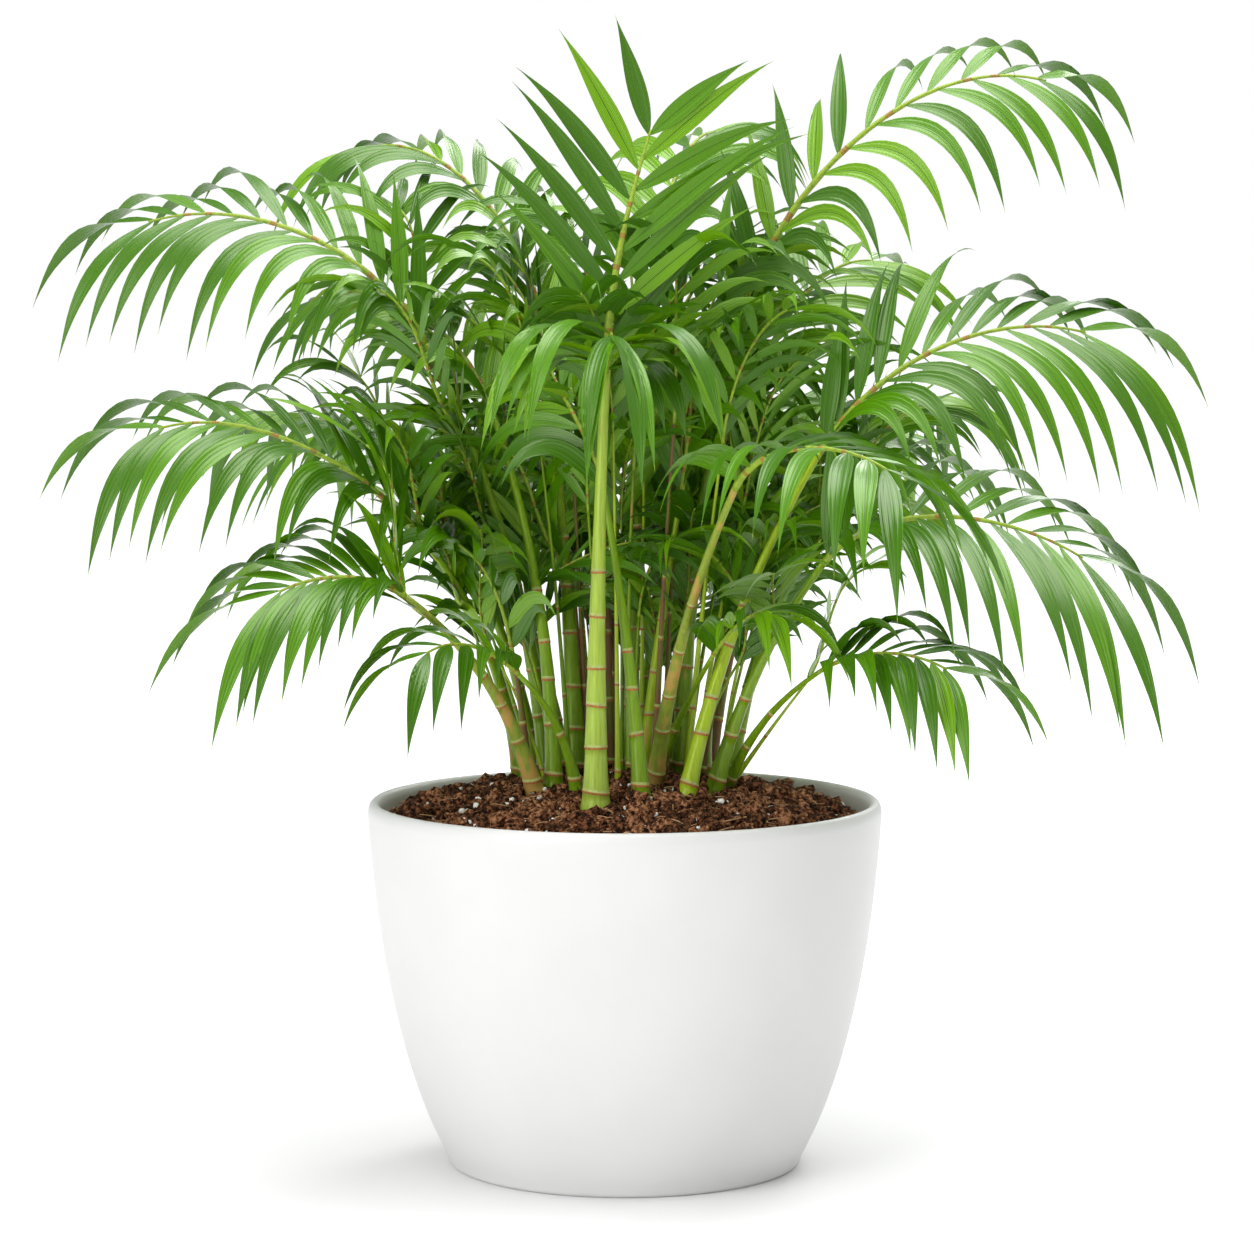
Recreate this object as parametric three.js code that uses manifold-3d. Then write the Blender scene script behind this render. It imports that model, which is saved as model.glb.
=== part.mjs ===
// Potted bamboo palm: a clump of ringed canes growing from heaped soil in a plain tapered planter,
// each cane ending in one arching frond whose thin blade is cut to the rib between its leaflets.
//
// Millimetres, +Z up. The origin is the centre of the pot's flat underside, and the plant's
// front looks towards -Y, so +X is on the viewer's right.

import * as THREE from "three";
import { mergeVertices } from "three/addons/utils/BufferGeometryUtils.js";
import Module from "manifold-3d";

const wasm = await Module();
wasm.setup();

// Driving dimensions

const CLEARANCE = 0.3; // gap kept between neighbouring solids

const POT = {
  height: 249, // top of the rounded lip
  rimRadius: 175, // widest radius, just under the lip
  rimHeight: 241,
  bellyRadius: 165, // where the straight run of the foot would meet the straight run of the rim
  bellyHeight: 86,
  footRadius: 117, // flat underside
  footCorner: [4, 5], // width and height of the bevelled edge between underside and wall
  wall: 9,
  floor: 8,
  floorCorner: 10, // height above the floor where the straight of the inner wall begins
  wallSteps: 6,
  innerSteps: 3,
  lipSteps: 4,
};

const SOIL = {
  edgeHeight: 235, // where the heap meets the wall
  crownHeight: 262, // top of the heap
  steps: 5,
};

const MERGE = 1e-4; // points nearer than this are one

const ROUND = 40; // sides of the turned solids, alike so that pot and soil keep an even gap

const CANE = {
  sides: 8,
  stepLength: 62, // length of cane between two cross sections
  fewestSteps: 3,
  flare: 1.22, // foot radius over the radius above the flare
  flareHeight: 16,
  taper: 0.38, // radius at the tip over the radius above the flare
  taperPower: 1.7, // above one, the cane thins faster near its foot
};

const RIB = {
  sides: 3,
  steps: 7,
  tipRadius: 0.75,
  reach: 0.35, // how far each end direction rules the arch, as a share of the frond's span
};

const LEAFLET = {
  width: 14,
  thickness: 0.0125, // as a share of the length
  sag: 3.2, // how steeply a level leaflet ends, as the tangent of its angle
  spread: 52, // widest angle between leaflet and rib, degrees
  footClose: 16, // how far the first leaflets close in on the rib, degrees
  spreadEnd: 30, // angle between rib and last leaflets, degrees
  footShort: 0.3, // share by which the first leaflets are shorter than the longest
  endLength: 1, // length of the last leaflets, as a share of the longest
  lift: -4, // degrees that a leaflet rises from the frond's plane
  footLift: 44, // further rise of the first leaflets of a frond, degrees
  first: 0.03, // place of the first pair along the rib
  last: 0.975, // place of the last pair
  stagger: 0.3, // how far the two leaflets of a pair stand apart, as a share of the spacing
  bendSteps: 20,
  sections: [0.3, 0.65], // places along a leaflet of its two cross sections
  sectionWidths: [0.95, 0.7], // their widths, as a share of the full width
};

// Seeds of the fronds' small differences
const FIRST_SEED = 101;
const SEED_STEP = 37;
const WHORL_SEED = 77;

const JITTER = {
  spread: 5, // degrees
  lift: 8, // degrees
  sag: 0.2, // share
  length: 0.08, // share
};

// Ways in which a leaflet gives way to a neighbour: change of sag, lift in degrees and length
const YIELDS = [
  { sag: 1, lift: 0, length: 1 },
  { sag: 0.7, lift: 10, length: 0.95 },
  { sag: 1.3, lift: -12, length: 0.95 },
  { sag: 0.9, lift: 22, length: 0.72 },
];

const COLOURS = {
  pot: { color: 0xf1f1f0, roughness: 0.42, metalness: 0 },
  soil: { color: 0x3a2114, roughness: 0.95, metalness: 0 },
  cane: { color: 0x7d9f3c, roughness: 0.5, metalness: 0 },
  frond: { color: 0x3f8a1e, roughness: 0.45, metalness: 0 },
};

// One entry for each shoot: a cane and the frond at its tip.
//   thick: diameter of the cane above its flared foot
//   bow: how far the cane's middle swings up and inwards
//   foot: [x, y] where the cane leaves the soil
//   top: tip of the cane, where the frond's first leaflets stand
//   tip: end of the frond's rib
//   fall: degrees that the rib's end points below level
//   pairs, leaf: number of leaflet pairs, and length of the longest leaflets
//   roll: turn of the blade about its rib, degrees; above zero its right side hangs lower
//   skew: share by which leaflets on the rib's right spread more; they sag more by twice that
//   twist: degrees that a leaflet's face turns, by its tip, towards the frond's end
// Any value of LEAFLET from width to footLift may be given for one frond alone.

const SHOOTS = [
  {
    name: "centre_top", thick: 17, bow: 2,
    foot: [-19, -85], top: [-12, -85, 549], tip: [17, -76, 699],
    fall: -72, pairs: 8, leaf: 146, roll: 84, skew: -0.06, sag: 0.5, lift: 4,
    footLift: 0, width: 17, spread: 49, spreadEnd: 34, endLength: 0.56,
  },
  {
    name: "left_upper", thick: 13, bow: 14,
    foot: [-53, 25], top: [-135, 15, 558], tip: [-326, 45, 641],
    fall: 16, pairs: 12, leaf: 132, roll: -28, skew: -0.15,
  },
  {
    name: "left_middle", thick: 12, bow: 16,
    foot: [-72, 56], top: [-139, -18, 432], tip: [-310, -46, 503],
    fall: 16, pairs: 12, leaf: 130, roll: -28, skew: -0.12, endLength: 0.94,
  },
  {
    name: "left_lower", thick: 12, bow: 14,
    foot: [-60, -37], top: [-144, -95, 395], tip: [-224, -120, 400],
    fall: 26, pairs: 11, leaf: 116, roll: -28, skew: -0.04, spread: 56,
    spreadEnd: 30,
  },
  {
    name: "left_low_inner", thick: 9, bow: 8,
    foot: [-32, -46], top: [-70, -78, 342], tip: [-128, -130, 361],
    fall: 24, pairs: 6, leaf: 84, width: 14, roll: -20,
  },
  {
    name: "left_back_upper", thick: 14, bow: 8,
    foot: [-33, 15], top: [-58, 62, 569], tip: [-180, 130, 694],
    fall: 12, pairs: 11, leaf: 100, roll: -12, skew: -0.1, sag: 2.6, footLift: 60,
  },
  {
    name: "left_inner", thick: 12, bow: 14,
    foot: [-48, -26], top: [-90, 16, 512], tip: [-210, 118, 590],
    fall: 14, pairs: 11, leaf: 92, roll: -18, skew: -0.1,
  },
  {
    name: "right_upper", thick: 14, bow: 10,
    foot: [39, 26], top: [80, 36, 575], tip: [290, 70, 738],
    fall: 14, pairs: 12, leaf: 115, roll: 38, skew: 0.12,
  },
  {
    name: "right_middle", thick: 12, bow: 10,
    foot: [41, -59], top: [130, -32, 486], tip: [312, 12, 566],
    fall: 14, pairs: 12, leaf: 148, roll: 36, skew: 0.16,
  },
  {
    name: "right_front", thick: 12, bow: 14,
    foot: [20, -24], top: [71, -140, 468], tip: [163, -232, 484],
    fall: 26, pairs: 9, leaf: 124, width: 17, spread: 78, spreadEnd: 38,
  },
  {
    name: "right_lower", thick: 12, bow: 8,
    foot: [60, -33], top: [131, -60, 413], tip: [300, -92, 420],
    fall: 32, pairs: 12, leaf: 154, roll: 24, spread: 64, spreadEnd: 36,
  },
  {
    name: "right_low", thick: 8, bow: 10,
    foot: [69, -15], top: [130, -88, 346], tip: [207, -146, 352],
    fall: 24, pairs: 9, leaf: 98, roll: 20, spreadEnd: 36,
  },
  {
    name: "right_back_upper", thick: 13, bow: 8,
    foot: [30, 62], top: [80, 72, 505], tip: [176, 150, 615],
    fall: 4, pairs: 9, leaf: 100, roll: 28, skew: 0.1, sag: 1.5,
  },
  {
    name: "right_inner_low", thick: 9, bow: 4,
    foot: [55, 18], top: [70, 30, 370], tip: [166, 64, 450],
    fall: 6, pairs: 7, leaf: 88, width: 14,
  },
  {
    name: "inner_right", thick: 10, bow: 2,
    foot: [12, -5], top: [38, 8, 454], tip: [66, 8, 600],
    fall: -62, pairs: 8, leaf: 100, roll: 50, spread: 50,
  },
  {
    name: "inner_left", thick: 12, bow: 3,
    foot: [11, -69], top: [-14, -60, 462], tip: [-54, -8, 552],
    fall: -60, pairs: 8, leaf: 100, roll: -60, spread: 50,
  },
  {
    name: "inner_low_left", thick: 8, bow: 2,
    foot: [-66, 0], top: [-76, -10, 350], tip: [-112, -30, 425],
    fall: -30, pairs: 6, leaf: 76, width: 14,
  },
  {
    name: "inner_low_right", thick: 8, bow: 4,
    foot: [22, 8], top: [58, -62, 352], tip: [96, -100, 384],
    fall: 10, pairs: 6, leaf: 72, width: 13,
  },
  {
    name: "inner_back", thick: 9, bow: 2,
    foot: [-14, 46], top: [-8, 84, 380], tip: [2, 132, 470],
    fall: -30, pairs: 7, leaf: 90, width: 15,
  },
  {
    name: "inner_back_left", thick: 9, bow: 2,
    foot: [-22, 66], top: [-44, 88, 392], tip: [-88, 120, 470],
    fall: -10, pairs: 7, leaf: 90, width: 15,
  },
  {
    name: "inner_back_right", thick: 9, bow: 2,
    foot: [30, 40], top: [44, 58, 430], tip: [76, 96, 540],
    fall: -40, pairs: 7, leaf: 92, width: 15,
  },
  {
    name: "back_high", thick: 13, bow: 6,
    foot: [4, 40], top: [18, 66, 590], tip: [66, 160, 706],
    fall: 4, pairs: 9, leaf: 112,
  },
  {
    name: "back_centre", thick: 13, bow: 14,
    foot: [-12, 84], top: [-24, 148, 500], tip: [-46, 318, 560],
    fall: 16, pairs: 10, leaf: 122,
  },
  {
    name: "back_left", thick: 12, bow: 14,
    foot: [-42, 78], top: [-112, 142, 446], tip: [-214, 262, 482],
    fall: 20, pairs: 10, leaf: 118,
  },
  {
    name: "back_right", thick: 12, bow: 14,
    foot: [58, 66], top: [112, 150, 440], tip: [212, 282, 474],
    fall: 20, pairs: 10, leaf: 118,
  },
  {
    name: "back_low", thick: 10, bow: 16,
    foot: [12, 98], top: [26, 190, 396], tip: [52, 306, 400],
    fall: 30, pairs: 8, leaf: 104,
  },
  {
    name: "left_side", thick: 11, bow: 14,
    foot: [-62, 84], top: [-142, 96, 452], tip: [-268, 150, 500],
    fall: 20, pairs: 9, leaf: 108,
  },
  {
    name: "right_side", thick: 12, bow: 12,
    foot: [72, 36], top: [146, 96, 462], tip: [232, 188, 508],
    fall: 20, pairs: 10, leaf: 106,
  },
];

// Young frond that opens forward from the side of the centre cane, just below its tip
const WHORL = {
  name: "centre_whorl", cane: "centre_top", share: 0.975, rise: 20, tip: [-8, -150, 566], fall: 20,
  radius: 2.2, pairs: 5, leaf: 136, sag: 7, spread: 72, spreadEnd: 10, lift: 4, footLift: 10,
  twist: 110, width: 18,
};

// Geometry helpers

const UP = new THREE.Vector3(0, 0, 1);
const radians = THREE.MathUtils.degToRad;
const lerp = THREE.MathUtils.lerp;

/** Repeatable random numbers between 0 and 1. */
function randomFrom(seed) {
  let state = seed;
  return () => {
    state = (state * 16807) % 2147483647;
    return state / 2147483647;
  };
}

/** Two triangles over four corners, split so that a twisted surface bulges outwards, off the far side. */
function splitQuad(points, a, b, c, d) {
  const [ab, ac, ad] = [b, c, d].map((corner) => points[corner].clone().sub(points[a]));
  return ab.dot(ac.cross(ad)) > 0 ? [a, b, d, b, c, d] : [a, b, c, a, c, d];
}

/** Closed solid through rings of points; a ring of one point is a tip, and open ends get a flat cap. */
function loft(rings) {
  const points = rings.flat();
  const starts = [];
  rings.reduce((start, ring) => {
    starts.push(start);
    return start + ring.length;
  }, 0);
  const index = [];
  for (let level = 0; level + 1 < rings.length; level += 1) {
    const [a, b] = [starts[level], starts[level + 1]];
    const lower = rings[level].length;
    const upper = rings[level + 1].length;
    const sides = Math.max(lower, upper);
    for (let side = 0; side < sides; side += 1) {
      const next = (side + 1) % sides;
      if (lower === 1) {
        index.push(a, b + next, b + side);
      } else if (upper === 1) {
        index.push(a + side, a + next, b);
      } else {
        index.push(...splitQuad(points, a + side, a + next, b + next, b + side));
      }
    }
  }
  const lastRing = rings.length - 1;
  for (let corner = 1; corner + 1 < rings[0].length; corner += 1) {
    index.push(starts[0], starts[0] + corner + 1, starts[0] + corner);
  }
  for (let corner = 1; corner + 1 < rings[lastRing].length; corner += 1) {
    index.push(starts[lastRing], starts[lastRing] + corner, starts[lastRing] + corner + 1);
  }
  const geometry = new THREE.BufferGeometry();
  const positions = points.flatMap((point) => point.toArray());
  geometry.setAttribute("position", new THREE.Float32BufferAttribute(positions, 3));
  geometry.setIndex(index);
  return geometry;
}

/** Ring of points round a centre; first and second span its plane. */
function ringAt(centre, first, second, radius, sides) {
  return Array.from({ length: sides }, (_, side) => {
    const angle = (2 * Math.PI * side) / sides;
    return centre.clone()
      .addScaledVector(first, radius * Math.cos(angle))
      .addScaledVector(second, radius * Math.sin(angle));
  });
}

/** Solid for joining and testing, from a closed geometry. */
function toSolid(geometry) {
  const bare = geometry.clone();
  bare.deleteAttribute("normal");
  bare.deleteAttribute("uv");
  const merged = mergeVertices(bare, MERGE);
  return new wasm.Manifold(new wasm.Mesh({
    numProp: 3,
    vertProperties: new Float32Array(merged.attributes.position.array),
    triVerts: new Uint32Array(merged.index.array),
  }));
}

/** Geometry of a joined solid. */
function toGeometry(solid) {
  const mesh = solid.getMesh();
  const geometry = new THREE.BufferGeometry();
  geometry.setAttribute("position", new THREE.Float32BufferAttribute(mesh.vertProperties, 3));
  geometry.setIndex(Array.from(mesh.triVerts));
  return geometry;
}

/** Solid turned about Z from a profile of [radius, height] points that starts and ends on the axis. */
function turned(profile) {
  const points = profile.map(([radius, height]) => new THREE.Vector2(radius, height));
  return new THREE.LatheGeometry(points, ROUND).rotateX(Math.PI / 2);
}

// Pot and soil

const wallLine = new THREE.QuadraticBezierCurve(
  new THREE.Vector2(POT.footRadius + POT.footCorner[0], POT.footCorner[1]),
  new THREE.Vector2(POT.bellyRadius, POT.bellyHeight),
  new THREE.Vector2(POT.rimRadius, POT.rimHeight),
);

/** Outer radius of the pot's wall at a height, from the wall line's quadratic in its parameter. */
function wallRadius(height) {
  const { v0: start, v1: control, v2: end } = wallLine;
  const square = start.y - 2 * control.y + end.y;
  const linear = 2 * (control.y - start.y);
  const root = Math.sqrt(linear * linear - 4 * square * (start.y - height));
  return wallLine.getPoint((root - linear) / (2 * square)).x;
}

/** Heights that the pot's inner wall and the soil share, from the top of the soil to the floor. */
function innerHeights() {
  const top = SOIL.edgeHeight;
  return Array.from({ length: POT.innerSteps }, (_, step) => (
    lerp(top, POT.floor + POT.floorCorner, step / (POT.innerSteps - 1))
  ));
}

function potGeometry() {
  const outside = [[0, 0], [POT.footRadius, 0]];
  const wallPoints = wallLine.getPoints(POT.wallSteps);
  wallPoints.forEach((point) => outside.push([point.x, point.y]));
  const lipWidth = POT.wall / 2;
  const lipRise = POT.height - POT.rimHeight;
  for (let step = 1; step < POT.lipSteps; step += 1) {
    const angle = (Math.PI * step) / POT.lipSteps;
    outside.push([
      POT.rimRadius - lipWidth + lipWidth * Math.cos(angle),
      POT.rimHeight + lipRise * Math.sin(angle),
    ]);
  }
  const inside = [[POT.rimRadius - POT.wall, POT.rimHeight]];
  innerHeights().forEach((height) => inside.push([wallRadius(height) - POT.wall, height]));
  inside.push([POT.footRadius - POT.wall, POT.floor], [0, POT.floor]);
  return turned([...outside, ...inside]);
}

const soilRadius = wallRadius(SOIL.edgeHeight) - POT.wall - CLEARANCE;

/** Height of the soil's heaped surface at a distance from the middle. */
function soilHeight(distance) {
  const share = distance / soilRadius;
  return lerp(SOIL.crownHeight, SOIL.edgeHeight, share * share);
}

function soilGeometry() {
  const floor = POT.floor + CLEARANCE;
  const profile = [[0, floor], [POT.footRadius - POT.wall - CLEARANCE, floor]];
  innerHeights().reverse().forEach((height) => {
    profile.push([wallRadius(height) - POT.wall - CLEARANCE, height]);
  });
  for (let step = SOIL.steps - 1; step > 0; step -= 1) {
    const distance = (soilRadius * step) / SOIL.steps;
    profile.push([distance, soilHeight(distance)]);
  }
  profile.push([0, soilHeight(0)]);
  return turned(profile);
}

// Canes

/** Centre line of a cane, from its foot on the soil to its tip. */
function caneLine(shoot) {
  const [x, y] = shoot.foot;
  const foot = new THREE.Vector3(x, y, soilHeight(Math.hypot(x, y)) + CLEARANCE);
  const top = new THREE.Vector3(...shoot.top);
  const outward = new THREE.Vector3(top.x - foot.x, top.y - foot.y, 0).normalize();
  const middle = foot.clone().lerp(top, 0.5)
    .addScaledVector(outward, -2 * shoot.bow)
    .addScaledVector(UP, shoot.bow);
  return new THREE.QuadraticBezierCurve3(foot, middle, top);
}

/** Radius of a cane at a share of its length. */
function caneRadius(shoot, share, length) {
  const stem = CANE.taper + (1 - CANE.taper) * (1 - share) ** CANE.taperPower;
  const flare = (CANE.flare - 1) * Math.max(0, 1 - (share * length) / CANE.flareHeight);
  return (shoot.thick / 2) * (stem + flare);
}

function caneGeometry(shoot) {
  const line = caneLine(shoot);
  const length = line.getLength();
  const steps = Math.max(CANE.fewestSteps, Math.round(length / CANE.stepLength));
  const shares = [0, CANE.flareHeight / length];
  for (let step = 1; step <= steps; step += 1) {
    shares.push(step / steps);
  }
  const [footX, footY] = shoot.foot;
  const slope = (2 * (SOIL.crownHeight - SOIL.edgeHeight)) / (soilRadius * soilRadius);
  const ground = new THREE.Vector3(footX * slope, footY * slope, 1).normalize();
  const rings = shares.map((share) => {
    const centre = line.getPointAt(share);
    const along = line.getTangentAt(share);
    const first = new THREE.Vector3(0, 1, 0).cross(along).normalize();
    const second = along.clone().cross(first);
    const ring = ringAt(centre, first, second, caneRadius(shoot, share, length), CANE.sides);
    if (share === 0) {
      // The cut at the foot lies flat on the heap's slope.
      ring.forEach((point) => {
        const above = point.clone().sub(centre).dot(ground);
        point.addScaledVector(along, -above / along.dot(ground));
      });
    }
    return ring;
  });
  return loft(rings);
}

// Fronds

/** Centre line of a frond's rib: it leaves in the direction given and ends falling outwards. */
function ribLine(start, direction, tip, fall) {
  const span = start.distanceTo(tip);
  const outward = new THREE.Vector3(tip.x - start.x, tip.y - start.y, 0).normalize();
  const ending = outward.multiplyScalar(Math.cos(radians(fall)))
    .addScaledVector(UP, -Math.sin(radians(fall)));
  return new THREE.CubicBezierCurve3(
    start,
    start.clone().addScaledVector(direction, RIB.reach * span),
    tip.clone().addScaledVector(ending, -RIB.reach * span),
    tip,
  );
}

/** Point on the straight runs between a rib's cross sections, so that leaflets root inside it. */
function ribPoint(frond, share) {
  const step = Math.min(RIB.steps - 1, Math.floor(share * RIB.steps));
  const before = frond.line.getPointAt(step / RIB.steps);
  const after = frond.line.getPointAt((step + 1) / RIB.steps);
  return before.lerp(after, share * RIB.steps - step);
}

/** Directions at a place on a rib: along it, to its right, and out of the blade's upper face. */
function bladeFrame(frond, share) {
  const along = frond.line.getTangentAt(share);
  const right = frond.outward.clone().cross(UP);
  right.addScaledVector(along, -right.dot(along)).normalize();
  right.applyAxisAngle(along, radians(frond.roll));
  const above = right.clone().cross(along);
  return { along, right, above };
}

function ribGeometry(frond) {
  const rings = [];
  for (let step = 0; step <= RIB.steps; step += 1) {
    const share = step / RIB.steps;
    const { right, above } = bladeFrame(frond, share);
    const radius = lerp(frond.radius, RIB.tipRadius, share);
    rings.push(ringAt(frond.line.getPointAt(share), above, right, radius, RIB.sides));
  }
  return loft(rings);
}

/** Angle between leaflet and rib at a place along the frond, in degrees. */
function spreadAt(frond, place) {
  const closing = (frond.spread - frond.spreadEnd) * place ** 3;
  return frond.spread - LEAFLET.footClose * (1 - place) ** 3 - closing;
}

/** Leaflet length at a place along the frond, as a share of the longest. */
function lengthShare(frond, place) {
  return 1 - LEAFLET.footShort * (1 - place) ** 3 - (1 - frond.endLength) * place ** 3;
}

/** Centre line of one leaflet, bending down ever more towards its tip, with its directions. */
function leafletLine(frond, leaflet, give) {
  const { along, right, above } = bladeFrame(frond, leaflet.place);
  const spread = radians(leaflet.spread);
  const lift = radians(leaflet.lift + give.lift);
  const heading = along.clone().multiplyScalar(Math.cos(spread))
    .addScaledVector(right, leaflet.side * Math.sin(spread) * Math.cos(lift))
    .addScaledVector(above, Math.sin(spread) * Math.sin(lift));
  const length = leaflet.length * give.length;
  const sag = leaflet.sag * give.sag;
  const point = ribPoint(frond, leaflet.place);
  const line = [];
  for (let step = 0; step <= LEAFLET.bendSteps; step += 1) {
    const across = along.clone().multiplyScalar(leaflet.side);
    across.addScaledVector(heading, -across.dot(heading)).normalize();
    const turn = (radians(frond.twist) * step) / LEAFLET.bendSteps;
    across.applyAxisAngle(heading, -leaflet.side * turn);
    line.push({ point: point.clone(), across, above: heading.clone().cross(across) });
    point.addScaledVector(heading, length / LEAFLET.bendSteps);
    const bend = (2 * sag * (step + 0.5)) / LEAFLET.bendSteps ** 2;
    heading.z -= bend * Math.hypot(heading.x, heading.y);
    heading.normalize();
  }
  return { line, length };
}

/** Thin lance-shaped solid of one leaflet: a root in the rib, two sections with a keel, and a tip. */
function leafletGeometry(frond, leaflet, give, margin) {
  const { line, length } = leafletLine(frond, leaflet, give);
  const keel = LEAFLET.thickness * length + margin;
  const rings = [[line[0].point]];
  LEAFLET.sections.forEach((place, section) => {
    const { point, across, above } = line[Math.round(place * LEAFLET.bendSteps)];
    const half = (frond.width * LEAFLET.sectionWidths[section]) / 2 + margin;
    rings.push([
      point.clone().addScaledVector(across, half).addScaledVector(above, margin),
      point.clone().addScaledVector(across, -half).addScaledVector(above, margin),
      point.clone().addScaledVector(above, -keel),
    ]);
  });
  rings.push([line[LEAFLET.bendSteps].point]);
  return loft(rings);
}

/** All leaflets of a frond with their seeded differences, from its foot to its tip. */
function leafletsOf(frond) {
  const random = randomFrom(frond.seed);
  const vary = (amount) => amount * (2 * random() - 1);
  const leaflets = [];
  for (let pair = 0; pair < frond.pairs; pair += 1) {
    for (const side of [-1, 1]) {
      const spacing = (LEAFLET.last - LEAFLET.first) / (frond.pairs - 1);
      const shift = pair === frond.pairs - 1 ? 0 : side * LEAFLET.stagger * 0.5 * spacing;
      const place = Math.max(LEAFLET.first, LEAFLET.first + pair * spacing + shift);
      const lean = frond.skew * side;
      leaflets.push({
        place,
        side,
        spread: spreadAt(frond, place) * (1 + lean) + vary(JITTER.spread),
        lift: frond.lift + frond.footLift * (1 - place) ** 2 + vary(JITTER.lift),
        sag: frond.sag * (1 + 2 * lean) * (1 + vary(JITTER.sag)),
        length: frond.leaf * lengthShare(frond, place) * (1 + vary(JITTER.length)),
      });
    }
  }
  return leaflets;
}

/** Frond with its defaults filled in and its rib's centre line worked out. */
function makeFrond(plan, start, direction, seed) {
  const tip = new THREE.Vector3(...plan.tip);
  return {
    roll: 0,
    skew: 0,
    twist: 0,
    width: LEAFLET.width,
    lift: LEAFLET.lift,
    footLift: LEAFLET.footLift,
    sag: LEAFLET.sag,
    spread: LEAFLET.spread,
    spreadEnd: LEAFLET.spreadEnd,
    endLength: LEAFLET.endLength,
    ...plan,
    seed,
    outward: new THREE.Vector3(tip.x - start.x, tip.y - start.y, 0).normalize(),
    line: ribLine(start, direction, tip, plan.fall),
  };
}

/** The young frond: its stem meets the side of its cane, square to it but for its rise. */
function whorlFrond() {
  const shoot = SHOOTS.find((candidate) => candidate.name === WHORL.cane);
  const line = caneLine(shoot);
  const rise = radians(WHORL.rise);
  const forward = new THREE.Vector3(0, -1, 0);
  const standOff = caneRadius(shoot, WHORL.share, line.getLength()) + CLEARANCE
    + WHORL.radius * Math.sin(rise);
  const start = line.getPointAt(WHORL.share).addScaledVector(forward, standOff);
  const direction = forward.multiplyScalar(Math.cos(rise)).addScaledVector(UP, Math.sin(rise));
  return makeFrond(WHORL, start, direction, WHORL_SEED);
}

// Assembly

const plant = new THREE.Group();
const taken = []; // solids already placed, with their owner and their box

function addMesh(name, geometry, finish) {
  const mesh = new THREE.Mesh(geometry, new THREE.MeshStandardMaterial(finish));
  mesh.name = name;
  plant.add(mesh);
}

function take(owner, geometry) {
  const solid = toSolid(geometry);
  geometry.computeBoundingBox();
  taken.push({ owner, solid, box: geometry.boundingBox.clone() });
  return solid;
}

/** Whether a geometry stays clear of everything placed so far that another owner holds. */
function isClear(owner, geometry) {
  geometry.computeBoundingBox();
  const near = taken.filter((other) => (
    other.owner !== owner && other.box.intersectsBox(geometry.boundingBox)
  ));
  if (near.length === 0) {
    return true;
  }
  const solid = toSolid(geometry);
  return near.every((other) => solid.intersect(other.solid).isEmpty());
}

addMesh("pot", potGeometry(), COLOURS.pot);
addMesh("soil", soilGeometry(), COLOURS.soil);
take("pot", potGeometry());
take("soil", soilGeometry());

const fronds = [];
SHOOTS.forEach((shoot, order) => {
  const geometry = caneGeometry(shoot);
  addMesh(`cane_${shoot.name}`, geometry, COLOURS.cane);
  take(`cane_${shoot.name}`, geometry);
  const line = caneLine(shoot);
  const direction = line.getTangentAt(1);
  const start = line.getPointAt(1).addScaledVector(direction, CLEARANCE);
  const radius = (shoot.thick * CANE.taper) / 2;
  fronds.push(makeFrond({ radius, ...shoot }, start, direction, FIRST_SEED + SEED_STEP * order));
});

fronds.push(whorlFrond());

const ribs = fronds.map((frond) => take(`frond_${frond.name}`, ribGeometry(frond)));

fronds.forEach((frond, order) => {
  const owner = `frond_${frond.name}`;
  let blade = ribs[order];
  for (const leaflet of leafletsOf(frond)) {
    const give = YIELDS.find((change) => (
      isClear(owner, leafletGeometry(frond, leaflet, change, CLEARANCE))
    ));
    if (give) {
      blade = blade.add(take(owner, leafletGeometry(frond, leaflet, give, 0)));
    }
  }
  addMesh(owner, toGeometry(blade), COLOURS.frond);
});

export default plant;
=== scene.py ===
"""Potted bamboo palm, dressed and set in a plain studio.

Ringed canes rise in a clump from heaped potting soil in a plain white planter. Each ends in an
arching frond, whose leaflets grow by the seeded rule of the solids they replace, but finer and
slimmer. Thin young canes and small fronds, which the solids leave out, thicken the middle. Sizes
are in millimetres until a mesh is made, +Z is up, and the front looks along -Y.
"""

import logging
import math
from collections.abc import Callable, Iterator, Sequence
from dataclasses import dataclass, field, replace
from enum import Enum
from functools import lru_cache

import bmesh
import bpy
import numpy as np
from bmesh.types import BMEdge, BMesh, BMFace, BMVert
from bpy.types import ID, Material, Mesh, Node, NodeSocket, NodeTree, Object
from mathutils import Matrix, Vector, noise


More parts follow.
